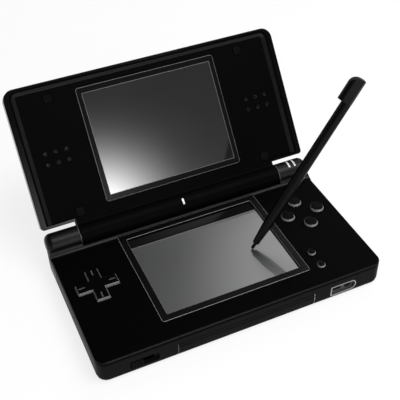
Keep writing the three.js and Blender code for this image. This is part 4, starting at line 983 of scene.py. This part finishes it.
def ear():
    """A hinge ear with a rounded outer end, on the right side."""
    profile = [(0, EAR_INNER), (BARREL_RADIUS - SEAM_CHAMFER, EAR_INNER),
               (BARREL_RADIUS, EAR_INNER + SEAM_CHAMFER)]
    for i in range(EDGE_STEPS + 1):
        angle = math.pi / 2 * i / EDGE_STEPS
        profile.append((BARREL_RADIUS - EAR_ROUND * (1 - math.cos(angle)),
                        CASE_HIGH.x - EAR_ROUND * (1 - math.sin(angle))))
    profile.append((0, CASE_HIGH.x))
    return along_x(turned(profile, ROUND_STEPS), HINGE_Y, HINGE_Z)


def control_levels(top):
    """Height and inset pairs up a control: a wall that leans in from the deck, then a round."""
    start = math.radians(CONTROL_SLOPE)
    draft = CONTROL_LEAN * (top - DECK_TOP)
    corner = size("control_round")
    levels = [(DECK_TOP, 0.0)]
    for i in range(EDGE_STEPS + 1):
        angle = start + (math.pi / 2 - start) * i / EDGE_STEPS
        levels.append((top - corner * (1 - math.sin(angle)),
                       draft + corner * (math.cos(start) - math.cos(angle))))
    return levels


def cross_slabs(grow, bottom, top, rounded=False):
    """The two bars of the cross, grown on every side, with a control's walls and rounds if asked."""
    at = middle("cross_pad")
    for width, depth in ((CROSS_SPAN, CROSS_ARM), (CROSS_ARM, CROSS_SPAN)):
        plan = plan_at(at.x, at.y, width + grow * 2, depth + grow * 2, CROSS_CORNER)
        if rounded:
            yield stack([(bottom, plan)] + [(z, plan.inset(inset)) for z, inset in control_levels(top)])
        else:
            yield slab(plan, bottom, top)


def light_slice(node, gap):
    return moved(bar_slice(LIGHT_START, LIGHT_END, gap), middle(node).x, HINGE_Y, HINGE_Z)


def upper_case():
    """The upper half of the base: deck, sweep, ears and screw posts, cut for all that sits in it."""
    below, above = DECK_UNDERSIDE - OVER, DECK_TOP + OVER
    holes, flares = [], []
    for node, (_, radius) in BUTTONS.items():
        at = middle(node)
        radius += BUTTON_GAP
        holes.append(disc(at.x, at.y, radius, below, above))
        flares.append(disc(at.x, at.y, radius, DECK_TOP - HOLE_CHAMFER, DECK_TOP + HOLE_CHAMFER,
                           radius + HOLE_CHAMFER * 2))
    pin_low, pin_high = limits("hinge_pin")
    spring_low, spring_high = limits("hinge_cartridge")
    pin_radius, spring_radius = (pin_high.z - pin_low.z) / 2, (spring_high.z - spring_low.z) / 2
    posts = [disc(at.x, at.y, POST_RADIUS, limits("main_board")[1].z, DECK_UNDERSIDE + PARTING)
             for at in (middle(node) for node in CASE_SCREWS)]
    glass = Plan(TOUCH_LOW.x, TOUCH_HIGH.x, TOUCH_LOW.y, TOUCH_HIGH.y, LEAST_CORNER)
    slots = list(cross_slabs(CROSS_GAP, below, above))
    return carve(
        "base_upper_shell", loaf(case_plan(), DECK_UNDERSIDE, DECK_TOP, 0, DECK_ROUND),
        (JOIN, solid_of(sweep_ridge())),
        (JOIN, ear()), (JOIN, mirrored(ear())),
        (CUT, block(CASE_LOW.x - OVER, CASE_HIGH.x + OVER, 0, CASE_HIGH.y + OVER, 0, DECK_UNDERSIDE)),
        (CUT, rod(BARREL_RADIUS + RUN_GAP, -EAR_INNER, EAR_INNER)),
        (CUT, slab(glass.inset(-SLIDE_GAP), below, above)),
        (CUT, slab(bezel_plan().inset(-FIT_GAP), DECK_TOP - BEZEL_SINK, above)),
        (CUT, slots[0]), (CUT, slots[1]),
        (CUT, together(*holes)), (CUT, together(*flares)),
        (CUT, together(*[light_slice(node, SLOT_GAP) for node in STATUS_LIGHTS])),
        (CUT, together(rod(spring_radius + PIN_PLAY, spring_low.x - PIN_PLAY, 0),
                       rod(pin_radius + PIN_PLAY, PIN_START, pin_high.x + PIN_PLAY))),
        (JOIN, together(*posts)))


def touch_bezel():
    """The raised frame round the touch panel, with fine chamfers inside and outside; the chamfers and a
    thin band of its top are painted light grey as a highlight.
    """
    outer, window = bezel_plan(), touch_window()
    low, high = BEZEL_LOW.z, BEZEL_HIGH.z
    rings = [(low, outer), (high - BEZEL_CHAMFER, outer), (high, outer.inset(BEZEL_CHAMFER)),
             (high, outer.inset(BEZEL_LINE)), (high, window.inset(-BEZEL_CHAMFER)),
             (high - BEZEL_CHAMFER, window), (low, window)]
    rings = [[(x, y, z) for x, y in plan.outline()] for z, plan in rings]
    count = len(rings[0])
    points = [p for ring in rings for p in ring]
    faces = []
    for ring in range(len(rings)):
        this, following = ring * count, (ring + 1) % len(rings) * count
        for i in range(count):
            j = (i + 1) % count
            faces.append((this + i, this + j, following + j, following + i))
    mesh = raw_mesh("touch_bezel_frame", (points, faces))
    take(mesh, "satin_black_abs_bezel", "scraped_black_abs_edge")
    # Painted highlight: the chamfers and a thin band along the outer edge of the top
    line = outer.inset(BEZEL_LINE)
    for each in mesh.polygons:
        at = each.center / MM
        if at.z > high - BEZEL_CHAMFER and (each.normal.z < FLAT_LIMIT or not line.holds(at)):
            each.material_index = 1
    return mesh


def touch_plate():
    """The touch film, with a painted dark strip of shade along the far edge and a painted highlight line
    where that strip ends.
    """
    plan = Plan(TOUCH_LOW.x, TOUCH_HIGH.x, TOUCH_LOW.y, TOUCH_HIGH.y, TOUCH_CORNER)
    mesh = raw_mesh("touch_film_plate", slab(plan, TOUCH_LOW.z, TOUCH_HIGH.z))
    # Painted shade and highlight: a dark strip along the far edge, and a light grey line where it ends
    strip = touch_window().back - size("frame_strip")
    cuts = (strip, strip - SHADE_STRIP_HIGHLIGHT)
    shape = bmesh.new()
    shape.from_mesh(mesh)
    for y in cuts:
        bmesh.ops.bisect_plane(shape, geom=shape.verts[:] + shape.edges[:] + shape.faces[:],
                               plane_co=(0, y * MM, 0), plane_no=(0, 1, 0))
    shape.to_mesh(mesh)
    shape.free()
    take(mesh, "resistive_touch_film", "film_over_black_frame", "scraped_black_abs_edge")
    for each in mesh.polygons:
        y = each.center.y / MM
        each.material_index = 1 if y > cuts[0] else 2 if y > cuts[1] else 0
    return mesh


def dressed_deck():
    """The upper shell: a dull deck, a softer sweep and edge, and a painted highlight line at the seam
    beside each ear.
    """
    shell = upper_case()
    take(shell, "satin_black_abs_deck", "satin_black_abs_hinge", "scraped_black_abs_edge")
    least, most = EDGE_LIMITS
    for each in shell.polygons:
        at, up = each.center / MM, each.normal.z
        seam = abs(abs(at.x) - EAR_INNER - SEAM_CHAMFER / 2) < SEAM_CHAMFER / 2
        sweep = at.z > DECK_TOP + NEAR and (up < FLAT_LIMIT or at.z > HINGE_Z)
        edge = DECK_TOP - DECK_ROUND < at.z < DECK_TOP and least < up < most
        # Painted highlight: a thin light grey line at the seam beside each ear
        if seam and abs(each.normal.x) < FLARE_LIMIT and at.z > DECK_TOP:
            each.material_index = 2
        elif sweep or edge:
            each.material_index = 1
    return shell


class HANDHELD_OT_deck(bpy.types.Operator):
    """Build the upper half of the base, the bezel and the status lights"""
    bl_idname = "handheld.deck"
    bl_label = "Deck"

    def execute(self, context):
        place_piece("base_upper_shell", dressed_deck(), None, "base", "gloss_shell", "base_upper_case")
        place_piece("touch_bezel_frame", touch_bezel(), None, "base", "face_panel", "touch_panel_bezel")
        place_piece("touch_film_plate", touch_plate(), None, "base", "touch_glass", "touch_panel")
        for node in STATUS_LIGHTS:
            place_piece(f"{node}_pipe", raw_mesh(f"{node}_pipe", light_slice(node, 0)),
                        finishes()["polycarbonate_light_pipe"], "base", "light_window", node)
        return {"FINISHED"}


# Controls

def dress_control(mesh, wall):
    """Gives a control walls painted grey as a highlight, polished shoulders and a dull top, where it
    stands over the deck.
    """
    take(mesh, "moulded_black_abs_button", "polished_black_abs_shoulder", wall)
    for each in mesh.polygons:
        if each.center.z / MM > DECK_TOP:
            up = each.normal.z
            # Painted highlight: the walls take a grey material for the light that they catch
            each.material_index = 2 if up < WALL_LIMIT else 1 if up < SHOULDER_LIMIT else 0


def round_button(node, radius):
    """A button with its flange, a rounded shoulder and a softly crowned top."""
    low, high = limits(node)
    at = middle(node)
    crown = size("button_crown")
    flange_top = low.z + FLANGE_THICKNESS
    profile = [(0, low.z), (radius + FLANGE_REACH, low.z), (radius + FLANGE_REACH, flange_top),
               (radius, flange_top)]
    levels = control_levels(high.z - crown)
    profile += [(radius - inset, z) for z, inset in levels]
    inner = radius - levels[-1][1]
    for ring in reversed(range(CROWN_RINGS)):
        share = ring / CROWN_RINGS
        profile.append((inner * share, high.z - crown * share * share))
    return moved(turned(profile, ROUND_STEPS), at.x, at.y, 0)


def cross_pad():
    """The cross pad: its skirt, the bore for its rocker and a shallow groove on each arm."""
    low, high = limits("cross_pad")
    at = middle("cross_pad")
    first, second = cross_slabs(0, low.z, high.z, True)
    length, width = CROSS_MARK
    depth = size("groove_depth")
    marks = []
    reach = CROSS_SPAN / 2 - CROSS_MARK_INSET
    for dx, dy in ((1, 0), (-1, 0), (0, 1), (0, -1)):
        x, y = at.x + dx * reach, at.y + dy * reach
        wide, deep = (width, length) if dy else (length, width)
        floor = plan_at(x, y, wide * CROSS_MARK_FLOOR, deep * CROSS_MARK_FLOOR, LEAST_CORNER)
        mouth = plan_at(x, y, wide * CROSS_MARK_MOUTH, deep * CROSS_MARK_MOUTH, CROSS_MARK_CORNER)
        marks.append(stack([(high.z - depth, floor), (high.z + OVER, mouth)]))
    skirt = list(cross_slabs(CROSS_SKIRT, low.z, low.z + CROSS_SKIRT_THICKNESS))
    bore = disc(at.x, at.y, ROCKER_BORE, low.z - OVER, limits("cross_pad_rocker")[1].z + ROCKER_PLAY)
    mesh = carve("cross_pad_key", first, (JOIN, second), (JOIN, skirt[0]), (JOIN, skirt[1]),
                 (CUT, bore), (CUT, together(*marks)))
    dress_control(mesh, "ground_black_abs_wall")
    # Painted highlight: the floors of the grooves are painted grey
    take(mesh, "scraped_black_abs_mark")
    for each in mesh.polygons:
        spot = each.center / MM
        off, out = sorted((abs(spot.x - at.x), abs(spot.y - at.y)))
        sunk = high.z - depth - NEAR < spot.z < high.z - NEAR * 2 and each.normal.z > GROOVE_LIMIT
        if sunk and off < width and out < CROSS_SPAN / 2 - CROSS_MARK_END:
            each.material_index = 3
    return mesh


def socket_body():
    """The headphone socket: a plate with one round end, a light rim, a sunk face, a hole and a slot."""
    low, high = limits("headphone_socket")
    at = (low + high) / 2
    front = low.y

    def outline(inset):
        corner, end = JACK_CORNER, (high.z - low.z) / 2 - JACK_FLAT - inset
        left, right, bottom, top = low.x + inset, high.x - inset, low.z + inset, high.z - inset
        return (arc(right - end, bottom + end, end, -90, 0) + arc(right - end, top - end, end, 0, 90)
                + arc(left + corner, top - corner, corner, 90, 180)
                + arc(left + corner, bottom + corner, corner, 180, 270))

    hole_x, hole_radius, hole_depth = JACK_HOLE
    slot_x, slot_width, slot_height = JACK_SLOT
    turns = [math.tau * i / SMALL_STEPS for i in range(SMALL_STEPS)]
    round_hole = [(at.x + hole_x + hole_radius * math.cos(turn), at.z + hole_radius * math.sin(turn))
                  for turn in turns]
    mesh = carve(
        "headphone_socket_body", prism(outline(0), front, high.y, "Y"),
        (CUT, prism(outline(JACK_RIM), front - OVER, front + JACK_DEPTH, "Y")),
        (CUT, prism(round_hole, front - OVER, front + hole_depth, "Y")),
        (CUT, block(at.x + slot_x - slot_width / 2, at.x + slot_x + slot_width / 2, front - OVER,
                    front + hole_depth, at.z - slot_height / 2, at.z + slot_height / 2)))
    take(mesh, "glass_filled_nylon_socket", "nickel_plated_rim")
    for each in mesh.polygons:
        each.material_index = int(each.center.y / MM < front + NEAR)
    return mesh


class HANDHELD_OT_controls(bpy.types.Operator):
    """Build the cross pad and the round buttons"""
    bl_idname = "handheld.controls"
    bl_label = "Controls"

    def execute(self, context):
        place_piece("cross_pad_key", cross_pad(), None, "cross", "button_plastic", "cross_pad")
        for node, (body, radius) in BUTTONS.items():
            key = raw_mesh(f"{node}_key", round_button(node, radius))
            # Painted highlight: the round buttons' walls are painted a lighter grey ring
            dress_control(key, "ground_black_abs_collar")
            place_piece(f"{node}_key", key, None, body, "button_plastic", node)
        return {"FINISHED"}


# Stylus

def stylus_place():
    """From the stylus standing upright on its point, hook towards -X, to where it leans."""
    heading, lean, back = (math.radians(a) for a in (STYLUS_HEADING, STYLUS_LEAN, STYLUS_BACK_HEADING))
    along = Vector((math.sin(lean) * math.cos(heading), math.sin(lean) * math.sin(heading),
                    math.cos(lean)))
    across = Vector((math.cos(back), math.sin(back), 0))
    across = (across - along * across.dot(along)).normalized()
    turn = Matrix((across, along.cross(across), along)).transposed().to_4x4()
    return Matrix.Translation(Vector(STYLUS_POINT) * MM) @ turn


def upright_stylus():
    """The stylus on its point: a collar over the tip, a slow taper, and a hooked cap with flat sides."""
    shoulder = STYLUS_LENGTH - STYLUS_CAP
    round_tip = arc(0, STYLUS_TIP, STYLUS_TIP, -90, 0)
    profile = ([(0, 0)] + round_tip[1:] + [(STYLUS_TIP, STYLUS_TIP_LENGTH),
               (STYLUS_COLLAR - STYLUS_COLLAR_CHAMFER, STYLUS_TIP_LENGTH),
               (STYLUS_COLLAR, STYLUS_TIP_LENGTH + STYLUS_COLLAR_CHAMFER),
               (STYLUS_RADIUS, STYLUS_TAPER), (STYLUS_RADIUS, shoulder + OVER), (0, shoulder + OVER)])
    left = -STYLUS_RADIUS - STYLUS_HOOK
    cap_round = STYLUS_RADIUS * 2 + STYLUS_HOOK - STYLUS_CAP_CORNER - STYLUS_CAP_FLAT
    outline = ([(left, shoulder), (STYLUS_RADIUS, shoulder)]
               + arc(STYLUS_RADIUS - STYLUS_CAP_CORNER, STYLUS_LENGTH - STYLUS_CAP_CORNER,
                     STYLUS_CAP_CORNER, 0, 90)
               + arc(left + cap_round, STYLUS_LENGTH - cap_round, cap_round, 90, 180, EDGE_STEPS * 2))
    plan = plan_at(-STYLUS_HOOK / 2, 0, STYLUS_RADIUS * 2 + STYLUS_HOOK, STYLUS_RADIUS * 2,
                   STYLUS_RADIUS - STYLUS_CAP_SIDE)
    cap = solid_of(carve("cap", slab(plan, shoulder, STYLUS_LENGTH),
                         (KEEP, prism(outline, -STYLUS_RADIUS, STYLUS_RADIUS, "Y"))))
    return carve("stylus_pen", turned(profile, ROUND_STEPS), (JOIN, cap))


class HANDHELD_OT_stylus(bpy.types.Operator):
    """Build the stylus where it stands"""
    bl_idname = "handheld.stylus"
    bl_label = "Stylus"

    def execute(self, context):
        pen = upright_stylus()
        take(pen, "polished_black_abs_stylus", "satin_black_abs_deck", "moulded_black_abs_cap_back")
        # Painted light: the back of the cap is painted lighter grey as its lit side; its top takes the
        # dull deck finish
        for each in pen.polygons:
            if each.center.z / MM > STYLUS_LENGTH - STYLUS_CAP:
                back = each.normal.x > CAP_BACK_LIMIT
                each.material_index = 2 if back else int(each.normal.z > CAP_TOP_LIMIT)
        place_piece("stylus_pen", pen, None, "stylus", "gloss_shell", "stylus", place=stylus_place())
        return {"FINISHED"}


# The rest

def at_slot_end(at, normal):
    """Whether a face at the front lines the narrow gap at either end of the slot cover."""
    beside = abs(abs(at.x) - COVER_HIGH.x) < 2 * FIT_GAP
    return beside and abs(normal.x) > FLAT_LIMIT and at.y < COVER_LOW.y + OVER


class HANDHELD_OT_parts(bpy.types.Operator):
    """Finish every part whose CAD form is already right"""
    bl_idname = "handheld.parts"
    bl_label = "Finished parts"

    def execute(self, context):
        made = finishes()
        table = {
            "satin_case": ("satin_black_abs_case", "battery_cover", "stylus_silo"),
            "display": ("liquid_crystal_module", "lower_display", "upper_display"),
            "circuit_board": ("glass_epoxy_board", "main_board", "wireless_board"),
            "battery_case": ("battery_pack_polycarbonate", "battery"),
            "rubber": ("silicone_rubber", "cross_pad_rocker", "cross_pad_membrane",
                       "face_button_membrane", "small_button_membrane"),
            "steel": ("zinc_plated_steel", "hinge_cartridge", "hinge_pin", "card_slot",
                      "battery_cover_screw", *CASE_SCREWS),
            "socket_plastic": ("glass_filled_nylon", "cartridge_slot", "charge_socket"),
            "ribbon": ("polyimide_flex", "hinge_ribbon"),
            "button_plastic": ("moulded_black_abs_button", "left_trigger", "right_trigger",
                               "power_slider", "volume_slider"),
        }
        for slot, (material, *nodes) in table.items():
            for node in nodes:
                dress(node, made[material], slot)
        # Painted highlight: the ends of the slot cover's gap are painted as a pale line
        for node in ("base_lower_case", "cartridge_slot_cover"):
            dress(node, made["satin_black_abs_case"], "satin_case",
                  (made["scuffed_black_abs_seam"], at_slot_end))
        place_piece("headphone_socket_body", socket_body(), None, "base", "socket_plastic",
                    "headphone_socket")
        return {"FINISHED"}


# Stage

def look_along(place, target, roll):
    """A camera matrix at place that looks at target, rolled clockwise by roll degrees."""
    forward = (Vector(target) - Vector(place)).normalized()
    right = forward.cross(Vector((0, 0, 1))).normalized()
    down = forward.cross(right)
    turn = math.radians(roll)
    across = math.cos(turn) * right + math.sin(turn) * down
    drop = -math.sin(turn) * right + math.cos(turn) * down
    matrix = Matrix((across, -drop, -forward)).transposed().to_4x4()
    matrix.translation = Vector(place)
    return matrix


def studio_world():
    """A white band round the horizon, dim overhead, two round lights and a soft box at the side."""
    world = bpy.data.worlds.new("studio_dome")
    bpy.context.scene.world = world
    world.use_nodes = True
    tree = world.node_tree
    tree.nodes.clear()
    direction = (add(tree, "ShaderNodeTexCoord"), "Generated")
    up = add(tree, "ShaderNodeVectorMath", {"operation": "DOT_PRODUCT"},
             {0: direction, 1: Vector((0, 0, 1))})
    low, high = HORIZON_BAND
    band = add(tree, "ShaderNodeMapRange", {"interpolation_type": "SMOOTHSTEP"},
               {"Value": (up, "Value"), "From Min": low, "From Max": high, "To Min": 1.0,
                "To Max": DOME_LEVEL})
    total = (band, "Result")
    for aim, tightness, strength in ROUND_LIGHTS:
        toward = add(tree, "ShaderNodeVectorMath", {"operation": "DOT_PRODUCT"},
                     {0: direction, 1: Vector(aim).normalized()})
        front = add(tree, "ShaderNodeMath", {"operation": "MAXIMUM"}, {0: (toward, "Value"), 1: 0.0})
        spot = add(tree, "ShaderNodeMath", {"operation": "POWER"}, {0: (front, "Value"), 1: tightness})
        light = add(tree, "ShaderNodeMath", {"operation": "MULTIPLY"},
                    {0: (spot, "Value"), 1: strength})
        both = add(tree, "ShaderNodeMath", {"operation": "ADD"}, {0: total, 1: (light, "Value")})
        total = (both, "Value")
    box = SOFT_BOX_LEVEL
    for side, start, end in SOFT_BOX_EDGES:
        toward = add(tree, "ShaderNodeVectorMath", {"operation": "DOT_PRODUCT"},
                     {0: direction, 1: Vector(side).normalized()})
        edge = add(tree, "ShaderNodeMapRange", {"interpolation_type": "SMOOTHSTEP"},
                   {"Value": (toward, "Value"), "From Min": start, "From Max": end})
        inside = add(tree, "ShaderNodeMath", {"operation": "MULTIPLY"}, {0: box, 1: (edge, "Result")})
        box = (inside, "Value")
    level = add(tree, "ShaderNodeMath", {"operation": "ADD"}, {0: total, 1: box})
    dome = add(tree, "ShaderNodeBackground", None, {"Color": (1, 1, 1, 1), "Strength": (level, "Value")})
    seen = add(tree, "ShaderNodeBackground", None, {"Color": (1, 1, 1, 1)})
    path = add(tree, "ShaderNodeLightPath")
    mix = add(tree, "ShaderNodeMixShader", None,
              {"Fac": (path, "Is Camera Ray"), 1: (dome, "Background"), 2: (seen, "Background")})
    add(tree, "ShaderNodeOutputWorld", None, {"Surface": (mix, "Shader")})


def floor_material():
    """Seamless white paper: matt, and so white to the eye that only the console's shadow shows."""
    material = bpy.data.materials.new("seamless_white_paper")
    material.use_nodes = True
    tree = material.node_tree
    tree.nodes.clear()
    paper = add(tree, "ShaderNodeBsdfPrincipled", None,
                {"Base Color": (*linear("#EDEDED"), 1), "Roughness": 0.9, "Specular IOR Level": 0.2})
    path = add(tree, "ShaderNodeLightPath")
    seen = (path, "Is Camera Ray")
    for ray in ("Is Glossy Ray", "Is Transmission Ray"):
        more = add(tree, "ShaderNodeMath", {"operation": "MAXIMUM"}, {0: seen, 1: (path, ray)})
        seen = (more, "Value")
    share = add(tree, "ShaderNodeMath", {"operation": "MULTIPLY"}, {0: seen, 1: FLOOR_GLOW})
    white = add(tree, "ShaderNodeEmission", None, {"Color": (1, 1, 1, 1), "Strength": 1.0})
    mix = add(tree, "ShaderNodeMixShader", None,
              {"Fac": (share, "Value"), 1: (paper, "BSDF"), 2: (white, "Emission")})
    add(tree, "ShaderNodeOutputMaterial", None, {"Surface": (mix, "Shader")})
    return material


class HANDHELD_OT_stage(bpy.types.Operator):
    """Make the camera, the studio dome, the lamp and the floor"""
    bl_idname = "handheld.stage"
    bl_label = "Studio stage"

    def execute(self, context):
        scene = context.scene
        scene.view_settings.view_transform = "Standard"
        camera = bpy.data.objects.new("camera", bpy.data.cameras.new("camera"))
        camera.data.lens = scene.handheld_sizes.camera_lens
        camera.data.clip_start, camera.data.clip_end = CAMERA_CLIP
        camera.matrix_world = look_along(CAMERA_PLACE, CAMERA_TARGET, CAMERA_ROLL)
        scene.collection.objects.link(camera)
        scene.camera = camera
        studio_world()
        mesh = bpy.data.meshes.new("floor")
        corners = [(x * FLOOR_REACH, y * FLOOR_REACH, 0)
                   for x, y in ((-1, -1), (1, -1), (1, 1), (-1, 1))]
        mesh.from_pydata(corners, [], [(0, 1, 2, 3)])
        floor = bpy.data.objects.new("floor", mesh)
        mesh.materials.append(floor_material())
        scene.collection.objects.link(floor)
        lamp = bpy.data.objects.new("key_lamp", bpy.data.lights.new("key_lamp", "AREA"))
        lamp.data.energy = scene.handheld_sizes.lamp_power
        lamp.data.size = LAMP_SIZE
        lamp.location = LAMP_PLACE
        lamp.rotation_euler = (-lamp.location).to_track_quat("-Z", "Y").to_euler()
        scene.collection.objects.link(lamp)
        return {"FINISHED"}


class HANDHELD_PT_panel(bpy.types.Panel):
    """Lists the console's operators, colours and sizes"""
    bl_label = "Handheld console"
    bl_idname = "HANDHELD_PT_panel"
    bl_space_type = "VIEW_3D"
    bl_region_type = "UI"
    bl_category = "Handheld"

    def draw(self, context):
        for operator in OPERATORS:
            self.layout.operator(operator.bl_idname)
        for group in (context.scene.handheld_colours, context.scene.handheld_sizes):
            for name in type(group).__annotations__:
                self.layout.prop(group, name)


OPERATORS = (HANDHELD_OT_stage, HANDHELD_OT_lid, HANDHELD_OT_deck, HANDHELD_OT_controls,
             HANDHELD_OT_stylus, HANDHELD_OT_parts)
CLASSES = (HandheldColours, HandheldSizes, *OPERATORS, HANDHELD_PT_panel)


def register():
    for each in CLASSES:
        bpy.utils.register_class(each)
    bpy.types.Scene.handheld_colours = PointerProperty(type=HandheldColours)
    bpy.types.Scene.handheld_sizes = PointerProperty(type=HandheldSizes)


def unregister():
    del bpy.types.Scene.handheld_colours
    del bpy.types.Scene.handheld_sizes
    for each in reversed(CLASSES):
        bpy.utils.unregister_class(each)


def main():
    """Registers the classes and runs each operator."""
    register()
    bpy.ops.handheld.stage()
    bpy.ops.handheld.lid()
    bpy.ops.handheld.deck()
    bpy.ops.handheld.controls()
    bpy.ops.handheld.stylus()
    bpy.ops.handheld.parts()


if __name__ == "__main__":
    main()
